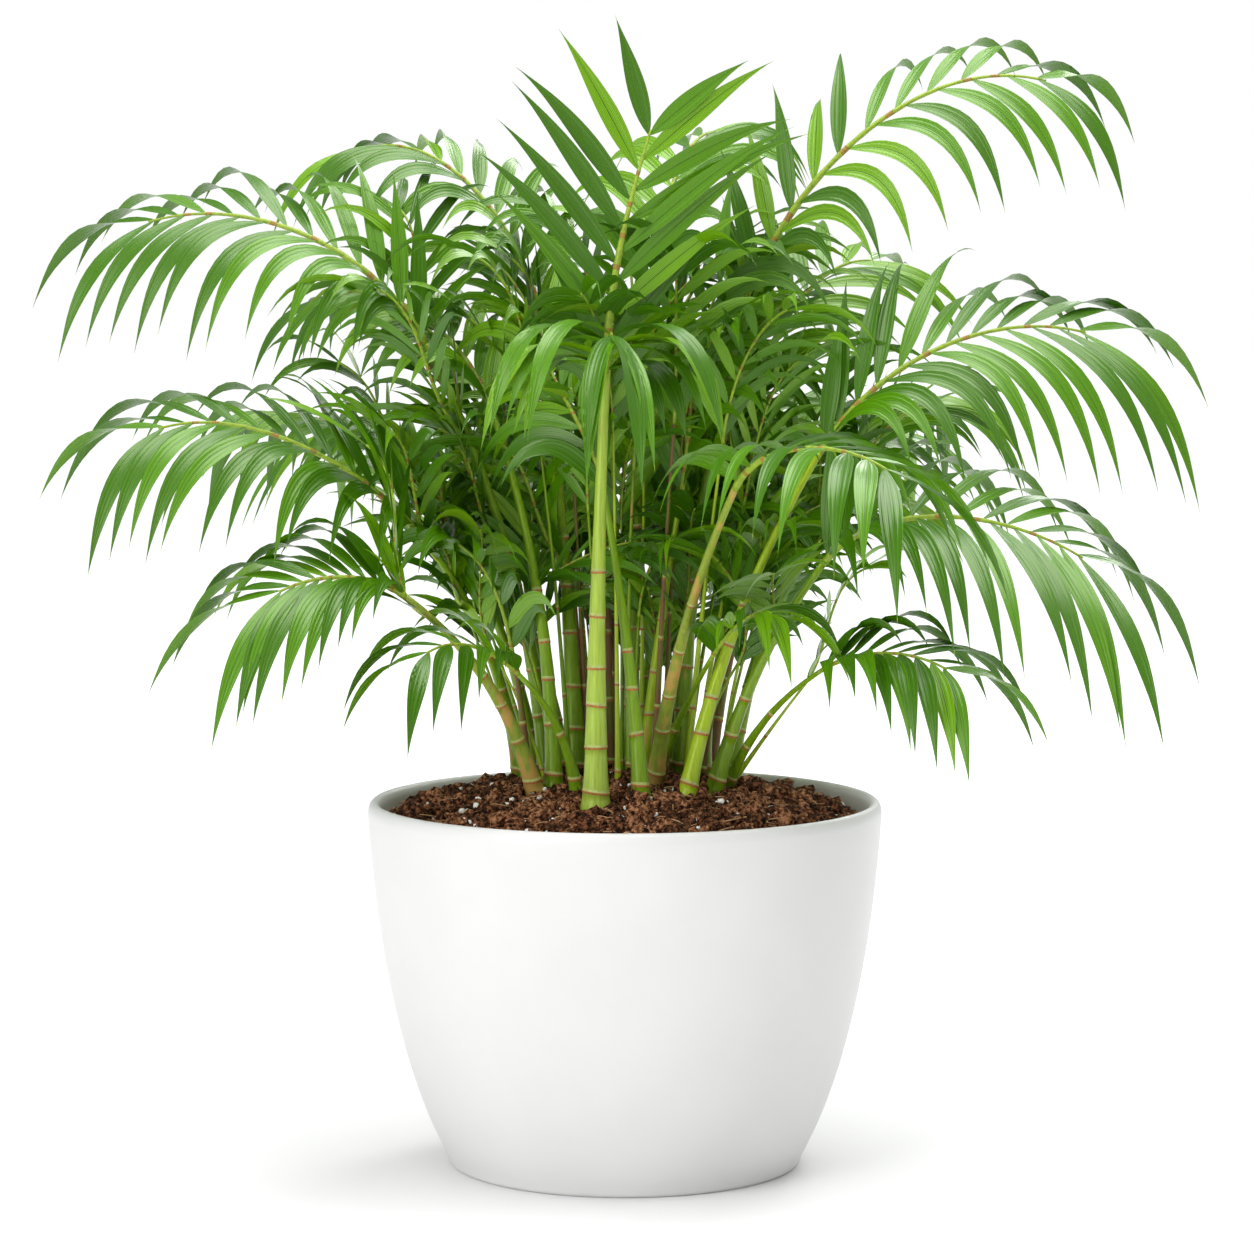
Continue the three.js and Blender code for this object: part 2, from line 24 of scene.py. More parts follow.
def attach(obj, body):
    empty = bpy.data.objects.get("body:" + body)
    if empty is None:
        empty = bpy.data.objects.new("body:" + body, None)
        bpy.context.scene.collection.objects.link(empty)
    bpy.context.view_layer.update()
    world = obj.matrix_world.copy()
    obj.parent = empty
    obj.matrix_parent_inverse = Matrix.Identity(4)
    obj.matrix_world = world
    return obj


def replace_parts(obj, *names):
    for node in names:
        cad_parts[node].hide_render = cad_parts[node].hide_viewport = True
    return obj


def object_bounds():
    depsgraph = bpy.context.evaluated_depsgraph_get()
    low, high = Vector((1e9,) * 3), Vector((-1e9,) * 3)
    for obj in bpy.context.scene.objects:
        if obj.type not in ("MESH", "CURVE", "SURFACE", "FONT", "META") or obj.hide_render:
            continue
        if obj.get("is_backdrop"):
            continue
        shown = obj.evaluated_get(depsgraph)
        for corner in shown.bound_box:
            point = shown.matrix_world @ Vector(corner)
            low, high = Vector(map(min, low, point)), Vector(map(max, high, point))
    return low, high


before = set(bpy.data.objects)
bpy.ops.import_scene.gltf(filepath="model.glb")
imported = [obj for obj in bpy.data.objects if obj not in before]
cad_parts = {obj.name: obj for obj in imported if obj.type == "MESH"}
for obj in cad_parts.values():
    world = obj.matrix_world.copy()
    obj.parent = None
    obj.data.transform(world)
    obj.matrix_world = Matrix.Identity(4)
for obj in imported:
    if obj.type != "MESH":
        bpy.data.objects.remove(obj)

log = logging.getLogger("bamboo_palm")

MM = 0.001  # metres in a millimetre
LEAF_MAP = "leaflet"
CLOUDED = (0.3, 0.7)  # values of a noise between which nearly all of it lies
WAVE = math.pi / 10  # scale of a wave texture with one wave to a unit of its map

UP = np.array([0.0, 0.0, 1.0])
BACK = np.array([0.0, 1.0, 0.0])  # away from the photograph's camera

Array = np.ndarray
Pair = tuple[float, float]
Draw = Callable[[], float]  # source of seeded numbers between 0 and 1


# Colours and nodes


def channels(colour: int) -> tuple[int, ...]:
    """Returns red, green and blue of an sRGB hex colour, from 0 to 255."""
    return tuple(colour >> shift & 255 for shift in (16, 8, 0))


def linear(colour: int) -> tuple[float, ...]:
    """Turns an sRGB hex colour into Blender's linear RGBA."""
    shares = (channel / 255 for channel in channels(colour))
    return (*(c / 12.92 if c <= 0.04045 else ((c + 0.055) / 1.055) ** 2.4 for c in shares), 1.0)


def shaded(colour: int, share: float) -> int:
    """Returns an sRGB hex colour with each channel multiplied, for the light and dark of a tone."""
    red, green, blue = (min(255, round(channel * share)) for channel in channels(colour))
    return red << 16 | green << 8 | blue


def add_node(tree: NodeTree, kind: str, inputs: dict | None = None, **settings: object) -> Node:
    """Adds a node to a tree.

    Args:
        tree: Where the node goes.
        kind: The node's type name.
        inputs: Values by input name or number; an output socket is linked instead of set.
        settings: Values of the node's own properties.

    Returns:
        The new node.
    """
    node = tree.nodes.new(kind)
    for name, value in settings.items():
        setattr(node, name, value)
    for key, value in (inputs or {}).items():
        if isinstance(value, NodeSocket):
            tree.links.new(value, node.inputs[key])
        else:
            node.inputs[key].default_value = value
    return node


@dataclass
class Pattern:
    """Nodes of one material, with the steps that finishes put their patterns together from."""

    tree: NodeTree
    shader: Node

    def feed(self, name: str, value: NodeSocket) -> None:
        """Links a value into one of the shader's inputs."""
        self.tree.links.new(value, self.shader.inputs[name])

    def place(self, stretch: float = 1.0) -> NodeSocket:
        """Adds the object's own coordinates, with Z multiplied by a stretch."""
        place = add_node(self.tree, "ShaderNodeTexCoord").outputs["Object"]
        if stretch == 1.0:
            return place
        scaled = {"Vector": place, "Scale": (1.0, 1.0, stretch)}
        return add_node(self.tree, "ShaderNodeMapping", scaled).outputs["Vector"]

    def noise(self, size: float, detail: float, roughness: float = 0.5,
              stretch: float = 1.0) -> NodeSocket:
        """Adds a noise.

        Args:
            size: Length of its clouds, in millimetres.
            detail: Rounds of finer noise in it.
            roughness: Strength of a round beside the one before it.
            stretch: Scale of Z, below 1 for clouds that are drawn out along it.

        Returns:
            Its value, from 0 to 1.
        """
        inputs = {"Vector": self.place(stretch), "Scale": 1 / (size * MM), "Detail": detail,
                  "Roughness": roughness}
        return add_node(self.tree, "ShaderNodeTexNoise", inputs).outputs["Fac"]

    def ramp(self, value: NodeSocket, *stops: tuple[float, int]) -> NodeSocket:
        """Turns a value into a colour, by the position and sRGB hex colour of each stop."""
        node = add_node(self.tree, "ShaderNodeValToRGB", {"Fac": value})
        elements = node.color_ramp.elements
        while len(elements) < len(stops):
            elements.new(1.0)
        for element, (position, colour) in zip(elements, stops):
            element.position = position
            element.color = linear(colour)
        return node.outputs["Color"]

    def spread(self, value: NodeSocket, low: float, high: float, start: float = 0.0,
               end: float = 1.0, **settings: str) -> NodeSocket:
        """Turns values from start to end into values from low to high, which they don't leave."""
        inputs = {"Value": value, "From Min": start, "From Max": end, "To Min": low, "To Max": high}
        return add_node(self.tree, "ShaderNodeMapRange", inputs, **settings).outputs["Result"]

    def colour(self, value: NodeSocket, *stops: tuple[float, int]) -> None:
        """Gives the shader a colour that follows a value, by stops as for a ramp."""
        self.feed("Base Color", self.ramp(value, *stops))

    def gloss(self, value: NodeSocket, low: float, high: float, *limits: float) -> None:
        """Gives the shader a roughness that follows a value, as spread turns it."""
        self.feed("Roughness", self.spread(value, low, high, *limits))

    def relief(self, *layers: tuple[NodeSocket, float, float]) -> None:
        """Gives the shader bumps, each by its height, strength and depth in millimetres."""
        below: dict[str, NodeSocket] = {}
        for height, strength, depth in layers:
            inputs = {"Height": height, "Strength": strength, "Distance": depth * MM, **below}
            below = {"Normal": add_node(self.tree, "ShaderNodeBump", inputs).outputs["Normal"]}
        self.feed("Normal", below["Normal"])


# Finishes


@dataclass(frozen=True)
class Finish:
    """A plain finish: one colour and one gloss. The patterned finishes build on it."""

    name: str
    colour: int
    roughness: float
    ior: float = 1.45
    specular: float = 0.5
    tint: int = 0xFFFFFF  # colour of the highlight

    def dress(self, pattern: Pattern) -> None:
        """Adds the finish's pattern to its shader; a plain finish has none."""


@dataclass(frozen=True)
class SatinResin(Finish):
    """Rotation-moulded resin with a satin skin, as on plain indoor planters.

    The skin is even and softly glossy; only a faint orange peel and a slight waviness of the
    gloss keep it from looking like paper.
    """

    peel: float = 2.5  # mm between the bumps of the orange peel, drawn coarser than the real 1 mm
    cloud: float = 1000 / 14  # mm across a cloud of whiteness and gloss
    grime: int = 0x040404  # by how much the dimmer clouds are darker

    def dress(self, pattern: Pattern) -> None:
        """Adds orange peel, a slow waviness of the gloss and a hint of uneven whiteness."""
        pattern.relief((pattern.noise(self.peel, 2.0), 0.12, 0.1))
        cloud = pattern.noise(self.cloud, 3.0)
        pattern.colour(cloud, (CLOUDED[0], self.colour - self.grime), (CLOUDED[1], self.colour))
        pattern.gloss(cloud, self.roughness - 0.04, self.roughness + 0.05, *CLOUDED)


@dataclass(frozen=True)
class DampPeat(Finish):
    """Moist peat and composted bark, red-brown, with painted shade that makes the hollows almost
    black and a painted highlight on the crumb tops.
    """

    specular: float = 0.15
    # Painted shade: colour of the low places of the crumb noise, the hollows between crumbs
    hollow: int = 0x140A04
    # Painted highlight: colour of the high places of the crumb noise, the crumb tops
    light: int = 0x885638
    crumb: float = 3.0  # mm across a crumb

    def dress(self, pattern: Pattern) -> None:
        """Adds crumbs in relief, and in colour with painted shade in their hollows and a painted
        highlight on their tops.
        """
        crumbs = pattern.noise(self.crumb, 6.0, 0.65)
        # Painted shade in the hollows, the own colour between, a painted highlight on the tops
        pattern.colour(crumbs, (0.4, self.hollow), (0.5, self.colour), (0.62, self.light))
        pattern.relief((crumbs, 0.7, 1.2))


@dataclass(frozen=True)
class CaneBark(Finish):
    """Living palm cane: smooth waxy skin with fine lengthwise fibres and dull tan patches.

    The wax gives a soft broad highlight; old patches are dry, tan and duller.
    """

    specular: float = 0.75
    tint: int = 0xF2FFBE
    patch: int = 0xB98A50
    patchiness: float = 0.62  # noise value above which the skin has dried to tan
    patch_size: float = 1000 / 55  # mm across a patch
    patch_roughness: float = 0.7
    fibre: float = 1.4  # mm between fibres across the cane

    def dress(self, pattern: Pattern) -> None:
        """Adds lengthwise fibres, cloudy greens and dried patches."""
        fibres = pattern.noise(self.fibre, 3.0, stretch=0.06)
        cloud = pattern.noise(self.patch_size, 4.0, 0.6, stretch=0.35)
        skin = pattern.ramp(fibres, (0.25, shaded(self.colour, 0.88)), (0.5, self.colour),
                            (0.8, shaded(self.colour, 1.08)))
        dried = pattern.spread(cloud, 0.0, 0.85, self.patchiness, self.patchiness + 0.08)
        mixed = add_node(pattern.tree, "ShaderNodeMix", {
            0: dried, 6: skin, 7: linear(self.patch)}, data_type="RGBA")
        pattern.feed("Base Color", mixed.outputs[2])
        pattern.gloss(dried, self.roughness, self.patch_roughness)
        pattern.relief((fibres, 0.15, 0.2))


@dataclass(frozen=True)
class LeafSkin(Finish):
    """Upper and lower skin of a palm leaflet: leathery, waxy, with fine parallel veins.

    The wax gives a narrow, faintly yellow-green highlight down each half, broken by the pleats,
    and the veins between the pleats show as faint lighter and darker lines.
    """

    specular: float = 0.8
    tint: int = 0xF0FFD4
    pleats: float = 4.0  # pleats across a leaflet, two on each half
    veins: float = 12.0  # veins across a leaflet, about 1 mm apart

    def dress(self, pattern: Pattern) -> None:
        """Adds pleats and parallel veins, which follow the leaflet's own map."""
        place = add_node(pattern.tree, "ShaderNodeUVMap", uv_map=LEAF_MAP).outputs["UV"]
        pleats, veins = (
            add_node(pattern.tree, "ShaderNodeTexWave", {
                "Vector": place, "Scale": number * WAVE, "Distortion": 0.0,
                "Phase Offset": -math.pi / 2}, wave_type="BANDS", bands_direction="X",
            ).outputs["Fac"] for number in (self.pleats, self.veins)
        )
        pattern.colour(veins, (0.0, shaded(self.colour, 0.82)), (1.0, shaded(self.colour, 1.1)))
        pattern.relief((veins, 0.3, 0.1), (pleats, 0.4, 0.4))


@dataclass(frozen=True)
class Mottled(Finish):
    """Small plant parts and grains: cloudy in tone, with a fine relief and an uneven gloss."""

    grain: float = 1.0  # mm across a cloud of tone
    contrast: float = 0.2  # how much darker the darkest clouds are
    relief: float = 0.1  # mm

    def dress(self, pattern: Pattern) -> None:
        """Adds clouds in colour, relief and gloss."""
        cloud = pattern.noise(self.grain, 4.0)
        pattern.colour(cloud, (0.3, shaded(self.colour, 1 - self.contrast)), (0.5, self.colour),
                       (0.72, shaded(self.colour, 1 + self.contrast / 2)))
        pattern.gloss(cloud, self.roughness - 0.06, self.roughness + 0.06, *CLOUDED)
        pattern.relief((cloud, 0.4, self.relief))


@dataclass(frozen=True)
class PaintedFloor(Finish):
    """White studio floor that fades into the white surroundings, as a lit sweep does."""

    near: float = 1.0  # metres from the plant within which only the lamps light the floor
    far: float = 4.0
    glow: float = 0.62

    def dress(self, pattern: Pattern) -> None:
        """Makes the floor glow with distance."""
        distance = add_node(
            pattern.tree, "ShaderNodeVectorMath", {0: pattern.place()}, operation="LENGTH")
        pattern.shader.inputs["Emission Color"].default_value = (1.0, 1.0, 1.0, 1.0)
        pattern.feed("Emission Strength", pattern.spread(
            distance.outputs["Value"], 0.0, self.glow, self.near, self.far,
            interpolation_type="SMOOTHSTEP"))


@lru_cache(maxsize=None)
def material_of(finish: Finish) -> Material:
    """Makes the material of a finish, once, and names it for the finish."""
    material = bpy.data.materials.new(finish.name)
    material.use_nodes = True
    material.diffuse_color = linear(finish.colour)
    shader = material.node_tree.nodes["Principled BSDF"]
    shader.inputs["Base Color"].default_value = linear(finish.colour)
    shader.inputs["Roughness"].default_value = finish.roughness
    shader.inputs["IOR"].default_value = finish.ior
    shader.inputs["Specular IOR Level"].default_value = finish.specular
    shader.inputs["Specular Tint"].default_value = linear(finish.tint)
    finish.dress(Pattern(material.node_tree, shader))
    return material


# Even satin white: the eye reads the planter's roundness from one soft broad highlight
PLANTER_SKIN = SatinResin("resin_satin_white", 0xDCDCDB, 0.42, 1.5)
# Dull dark crumbs, nearly black in the hollows from painted shade, which look damp beside the paler
# bark
PEAT = DampPeat("peat_damp", 0x402819, 0.92)
# Red-brown flakes with a painted highlight on their tops and painted shade in their hollows, which
# give the soil its coarse scale
BARK_CRUMB = DampPeat("bark_crumb_composted", 0x754A30, 0.9, light=0xB88660)
# Pale dry hairs, drawn over the dark soil as fine lines
COIR = Mottled("coir_fibre", 0xB48C64, 0.8, grain=2.0, contrast=0.3, relief=0.1)
# Chalky white grains, the brightest specks on the soil
PERLITE = Mottled("perlite_expanded", 0xF6F4EE, 0.85, grain=0.8, contrast=0.08, relief=0.3)
# Dull orange-brown cork, a thin line where an old leaf was held
CANE_SCAR = Mottled("cane_ring_scar_corky", 0xA8703A, 0.7, grain=0.8, contrast=0.35, relief=0.2)
# Pale dry bloom over each scar, which sets the joints of the cane apart
CANE_RIM = Mottled("cane_ring_rim_dry", 0xA6B464, 0.6, grain=2.0, contrast=0.16, relief=0.06)
# Waxy yellow-green, lighter than the leaflets, so that each frond shows its spine
RIB_SKIN = Mottled("rib_skin_waxy", 0x8EA82A, 0.42, grain=3.0, contrast=0.14, relief=0.04)
# Dry olive swellings where leaflets leave the rib
RIB_JOINT = Mottled("rib_joint_corky", 0x9A7C2C, 0.6, grain=0.8, contrast=0.3, relief=0.1)
# Dark furrow down the middle of a leaflet: painted shade in its crease, which makes its fold read
# from afar
LEAF_FURROW_SHADE = Mottled("leaflet_groove_painted_shade", 0x3E6A00, 0.4, grain=4.0, contrast=0.12, relief=0.02)


class CaneTone(Enum):
    """Skin of a cane, from the light one in front to the shaded ones behind.

    Each is waxy, fibrous along the cane and patched with tan. The pale one stands out as the
    thickest and oldest cane, the greens are living canes, and the last is a darker olive painted as
    shade on the canes behind, patched with brown.
    """

    PALE = CaneBark("cane_skin_pale_green", 0x9AB440, 0.3, patchiness=0.75)
    GREEN = CaneBark("cane_skin_green", 0x709414, 0.3, patchiness=0.64)
    YELLOW = CaneBark("cane_skin_yellow_green", 0x98B21C, 0.3, patchiness=0.66)
    TAN = CaneBark("cane_skin_sun_dried", 0x869832, 0.38, patchiness=0.52, patch=0xBE9250)
    # Painted shade: a darker olive skin for the canes at the back and some thin ones, with brown
    # patches
    DARK = CaneBark("cane_skin_painted_shade", 0x6A6428, 0.5, patchiness=0.46, patch=0x7E5240)


class LeafTone(Enum):
    """Green of a leaflet, dealt out leaflet by leaflet.

    All are leathery and waxy. The greens are dealt by how lit each leaflet is to look: the deep one
    is painted shade over a mature green, the fresh and young ones are painted light shining through
    the blade from behind over a younger green, and the yellowing one only touches the points of
    some leaflets.
    """

    DEEP = LeafSkin("leaflet_skin_deep_green", 0x3C6E00, 0.31)
    MIDDLE = LeafSkin("leaflet_skin_middle_green", 0x4F8500, 0.31)
    FRESH = LeafSkin("leaflet_skin_fresh_green", 0x699C04, 0.32)
    YOUNG = LeafSkin("leaflet_skin_young_green", 0x76A20C, 0.33)
    TIP = LeafSkin("leaflet_tip_yellowing", 0x94B434, 0.36)


# Mesh helpers


def in_scene(name: str, data: ID) -> Object:
    """Puts a new object, made of some data, in the scene at the origin."""
    made = bpy.data.objects.new(name, data)
    bpy.context.scene.collection.objects.link(made)
    return made


def new_piece(name: str, mesh: Mesh, finishes: Sequence[Finish]) -> Object:
    """Puts a finished mesh in the scene, riding on the plant's one body.

    Args:
        name: The piece's name.
        mesh: Its mesh, in metres, in place.
        finishes: Finish of each material index.

    Returns:
        The new object, at the origin.
    """
    mesh.name = name
    for finish in finishes:
        mesh.materials.append(material_of(finish))
    piece = in_scene(name, mesh)
    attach(piece, "root")
    log.info("%s: %d faces", name, len(mesh.polygons))
    return piece


def mesh_from(bm: BMesh) -> Mesh:
    """Turns a bmesh in millimetres, which is freed, into a smooth outward mesh in metres."""
    bmesh.ops.scale(bm, vec=(MM, MM, MM), verts=bm.verts)
    bmesh.ops.recalc_face_normals(bm, faces=bm.faces)
    for face in bm.faces:
        face.smooth = True
    mesh = bpy.data.meshes.new("mesh")
    bm.to_mesh(mesh)
    bm.free()
    return mesh


def spun(section: Sequence[Sequence[float]], sides: int) -> BMesh:
    """Spins a section about Z.

    Args:
        section: Radius and height of its points, from axis to axis.
        sides: Steps of a whole turn.

    Returns:
        The closed shape, in millimetres.
    """
    bm = bmesh.new()
    verts = [bm.verts.new((radius, 0.0, height)) for radius, height in section]
    edges = [bm.edges.new(pair) for pair in zip(verts, verts[1:])]
    bmesh.ops.spin(bm, geom=verts + edges, axis=(0, 0, 1), cent=(0, 0, 0),
                   angle=2 * math.pi, steps=sides, use_merge=True)
    bmesh.ops.remove_doubles(bm, verts=bm.verts, dist=1e-3)
    return bm


@dataclass
class Template:
    """A small shape made once, and repeated by arrays."""

    points: Array
    faces: list[list[int]]
    slots: Array  # material index of each face

    @classmethod
    def of(cls, bm: BMesh) -> "Template":
        """Reads a template out of a bmesh, which is freed."""
        bmesh.ops.recalc_face_normals(bm, faces=bm.faces)
        bm.verts.index_update()
        points = np.array([vert.co[:] for vert in bm.verts])
        faces = [[vert.index for vert in face.verts] for face in bm.faces]
        slots = np.array([face.material_index for face in bm.faces])
        bm.free()
        return cls(points, faces, slots)


class Bed:
    """Joined mesh of many placed templates."""

    SHARP = math.radians(50)  # least angle of an edge that is shaded sharp

    def __init__(self) -> None:
        """Starts empty."""
        self.points: list[Array] = []
        self.faces: list[list[int]] = []
        self.slots: list[Array] = []
        self.maps: list[Array] = []
        self.count = 0

    def add(self, points: Array, template: Template, slots: Array,
            places: Array | None = None) -> None:
        """Adds one placed template.

        Args:
            points: Its vertices, in millimetres.
            template: The template, for its faces.
            slots: Material index of each face.
            places: Place of each vertex on the map, where the piece has one.
        """
        self.points.append(points)
        self.faces.extend([index + self.count for index in face] for face in template.faces)
        self.slots.append(slots)
        if places is not None:
            self.maps.append(places)
        self.count += len(points)

    def mesh(self, map_name: str = "") -> Mesh:
        """Joins what was added into one smooth mesh, with its map if it has one."""
        mesh = bpy.data.meshes.new("mesh")
        mesh.from_pydata((np.concatenate(self.points) * MM).tolist(), [], self.faces)
        mesh.polygons.foreach_set("material_index", np.concatenate(self.slots).astype(np.int32))
        mesh.polygons.foreach_set("use_smooth", np.ones(len(self.faces), bool))
        if self.maps:
            corners = np.zeros(len(mesh.loops), np.int32)
            mesh.loops.foreach_get("vertex_index", corners)
            layer = mesh.uv_layers.new(name=map_name)
            layer.data.foreach_set("uv", np.concatenate(self.maps)[corners].ravel())
        mesh.update()
        mesh.set_sharp_from_angle(angle=self.SHARP)
        return mesh


def sweep(bm: BMesh, stations: Sequence[Matrix], sides: int,
          slots: Sequence[int] | None = None) -> None:
    """Sweeps a circle through stations as a closed tube.

    Args:
        bm: Where the tube goes.
        stations: Places of the unit circle, from one end to the other.
        sides: Sides of the circle.
        slots: Material index of the run that ends at each station after the first.
    """
    circle = bmesh.ops.create_circle(bm, segments=sides, radius=1.0, matrix=stations[0])["verts"]
    edges = list(dict.fromkeys(edge for vert in circle for edge in vert.link_edges))
    bmesh.ops.contextual_create(bm, geom=edges)
    for number, (before, after) in enumerate(zip(stations, stations[1:])):
        grown = bmesh.ops.extrude_edge_only(bm, edges=edges)["geom"]
        verts = [part for part in grown if isinstance(part, BMVert)]
        edges = [part for part in grown
                 if isinstance(part, BMEdge) and all(vert in verts for vert in part.verts)]
        for face in (part for part in grown if isinstance(part, BMFace)):
            face.material_index = slots[number] if slots else 0
        bmesh.ops.transform(bm, matrix=after @ before.inverted(), verts=verts)
    bmesh.ops.contextual_create(bm, geom=edges)


def station(centre: Array, first: Array, second: Array, radius: float) -> Matrix:
    """Returns the placing of a unit circle: its centre, its two directions and its radius."""
    along = np.cross(first, second)
    rows = np.stack([first * radius, second * radius, along * radius, centre], axis=1)
    return Matrix([*rows.tolist(), [0.0, 0.0, 0.0, 1.0]])


def unit(vector: Array) -> Array:
    """Returns a vector, or each row of an array, at length one."""
    return vector / np.linalg.norm(vector, axis=-1, keepdims=True)


def level(heading: float) -> Array:
    """Returns the level unit vector at an angle from +X, in radians."""
    return np.array([math.cos(heading), math.sin(heading), 0.0])


class Bezier:
    """Bezier curve followed by its length, as the solids follow it."""

    DIVISIONS = 200

    def __init__(self, *controls: Sequence[float]) -> None:
        """Measures the curve through its control points."""
        self.controls = np.array(controls, float)
        self.steps = np.linspace(0.0, 1.0, self.DIVISIONS + 1)
        samples = self._rounds(self.steps)[-1]
        runs = np.linalg.norm(np.diff(samples, axis=0), axis=1)
        self.reached = np.concatenate([[0.0], np.cumsum(runs)])
        self.length = float(self.reached[-1])

    def _rounds(self, parameters: Array) -> list[Array]:
        """Rounds of interpolation at some parameters; the last one holds the curve's points."""
        rounds = [np.repeat(self.controls[:, None], len(parameters), axis=1)]
        while len(rounds[-1]) > 1:
            low, high = rounds[-1][:-1], rounds[-1][1:]
            rounds.append(low + (high - low) * parameters[None, :, None])
        rounds[-1] = rounds[-1][0]
        return rounds

    def _parameters(self, shares: Sequence[float]) -> Array:
        """Parameters at shares of the curve's length."""
        return np.interp(np.asarray(shares) * self.length, self.reached, self.steps)

    def points(self, shares: Sequence[float]) -> Array:
        """Returns the points at shares of the curve's length."""
        return self._rounds(self._parameters(shares))[-1]

    def tangents(self, shares: Sequence[float]) -> Array:
        """Returns the unit directions at shares of the curve's length."""
        last = self._rounds(self._parameters(shares))[-2]
        return unit(last[1] - last[0])

    def at(self, share: float) -> tuple[Array, Array]:
        """Returns the point and the unit direction at a share of the curve's length."""
        return self.points([share])[0], self.tangents([share])[0]


MULTIPLIER, MODULUS = 16807, 2147483647  # of the solids' own random numbers


def repeatable(seed: int) -> Draw:
    """Returns the solids' own source of repeatable numbers between 0 and 1."""
    state = seed

    def draw() -> float:
        """Returns the next number."""
        nonlocal state
        state = state * MULTIPLIER % MODULUS
        return state / MODULUS

    return draw


def within(limits: Pair, draw: Draw) -> float:
    """Returns a seeded number between two limits."""
    return limits[0] + (limits[1] - limits[0]) * draw()


# Planter and soil


@dataclass
class Planter:
    """Plain round planter with a rounded lip, turned about Z."""

    height: float = 249.0
    rim_radius: float = 175.0
    rim_height: float = 241.0
    belly_radius: float = 165.0
    belly_height: float = 86.0
    foot_radius: float = 117.0
    foot_corner: Pair = (4.0, 5.0)  # width and height of the rounded corner
    wall: float = 9.0
    floor: float = 8.0
    floor_corner: float = 10.0
    soil_line: float = 235.0
    corner_steps: int = 5
    wall_steps: int = 40
    lip_steps: int = 12
    inside_steps: int = 13
    sides: int = 160

    def wall_points(self) -> Array:
        """Returns radius and height of the outer wall from the foot to the rim."""
        t = np.linspace(0.0, 1.0, self.wall_steps + 1)[:, None]
        foot = np.array([self.foot_radius + self.foot_corner[0], self.foot_corner[1]])
        belly = np.array([self.belly_radius, self.belly_height])
        rim = np.array([self.rim_radius, self.rim_height])
        return foot * (1 - t) ** 2 + 2 * belly * t * (1 - t) + rim * t**2

    def wall_radius(self, height: float) -> float:
        """Returns the outer radius of the wall at a height."""
        wall = self.wall_points()
        return float(np.interp(height, wall[:, 1], wall[:, 0]))

    def profile(self) -> list[Pair]:
        """Returns radius and height of the whole section, from the underside to the inner floor."""
        corner = [(self.foot_radius + self.foot_corner[0] * math.sin(angle),
                   self.foot_corner[1] * (1 - math.cos(angle)))
                  for angle in np.linspace(0.0, math.pi / 2, self.corner_steps + 1)]
        lip_width, lip_rise = self.wall / 2, self.height - self.rim_height
        lip = [(self.rim_radius - lip_width + lip_width * math.cos(angle),
                self.rim_height + lip_rise * math.sin(angle))
               for angle in np.linspace(0.0, math.pi, self.lip_steps + 1)[1:]]
        bottom = self.floor + self.floor_corner
        inside = [(self.wall_radius(height) - self.wall, height)
                  for height in np.linspace(self.soil_line, bottom, self.inside_steps + 1)]
        return [(0.0, 0.0), *corner, *map(tuple, self.wall_points()[1:]), *lip, *inside,
                (self.foot_radius - self.wall, self.floor), (0.0, self.floor)]

    def build(self) -> Object:
        """Spins the section into the planter and puts it in the pot's place."""
        piece = new_piece("planter", mesh_from(spun(self.profile(), self.sides)), [PLANTER_SKIN])
        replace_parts(piece, "pot")
        return piece


@dataclass(frozen=True)
class Grain:
    """One kind of grain that lies on the soil, dealt from a few lumps of unit radius."""

    name: str
    count: int
    sizes: Pair  # least and greatest radius
    flat: float  # least thickness, as a share of the radius
    lumps: int  # how many different lumps
    fineness: int  # subdivisions of the sphere that a lump starts from
    rough: float  # how far a lump leaves the sphere, as a share of its radius
    finishes: tuple[Finish, ...] = (PEAT, BARK_CRUMB)
    sink: float = 0.1  # how deep a grain sits, as a share of its radius
    smallness: float = 2.2  # above 1 where small grains are commoner than large ones

    def shapes(self) -> list[Template]:
        """Makes the lumps."""
        made = []
        for number in range(self.lumps):
            bm = bmesh.new()
            bmesh.ops.create_icosphere(bm, subdivisions=self.fineness, radius=1.0)
            for vert in bm.verts:
                swell = noise.fractal(vert.co * 1.7 + Vector((number * 7.3, 0, 0)), 0.6, 2.0, 3)
                vert.co *= 1.0 + self.rough * swell
            made.append(Template.of(bm))
        return made


GRAINS = (
    Grain("soil_clods", 1500, (2.6, 9.4), 0.55, 6, 2, 0.65),
    Grain("soil_crumbs", 3200, (0.8, 2.6), 0.4, 4, 1, 0.5),
    Grain("soil_perlite", 360, (0.9, 2.9), 0.6, 4, 2, 0.4, (PERLITE,), -0.6),
)


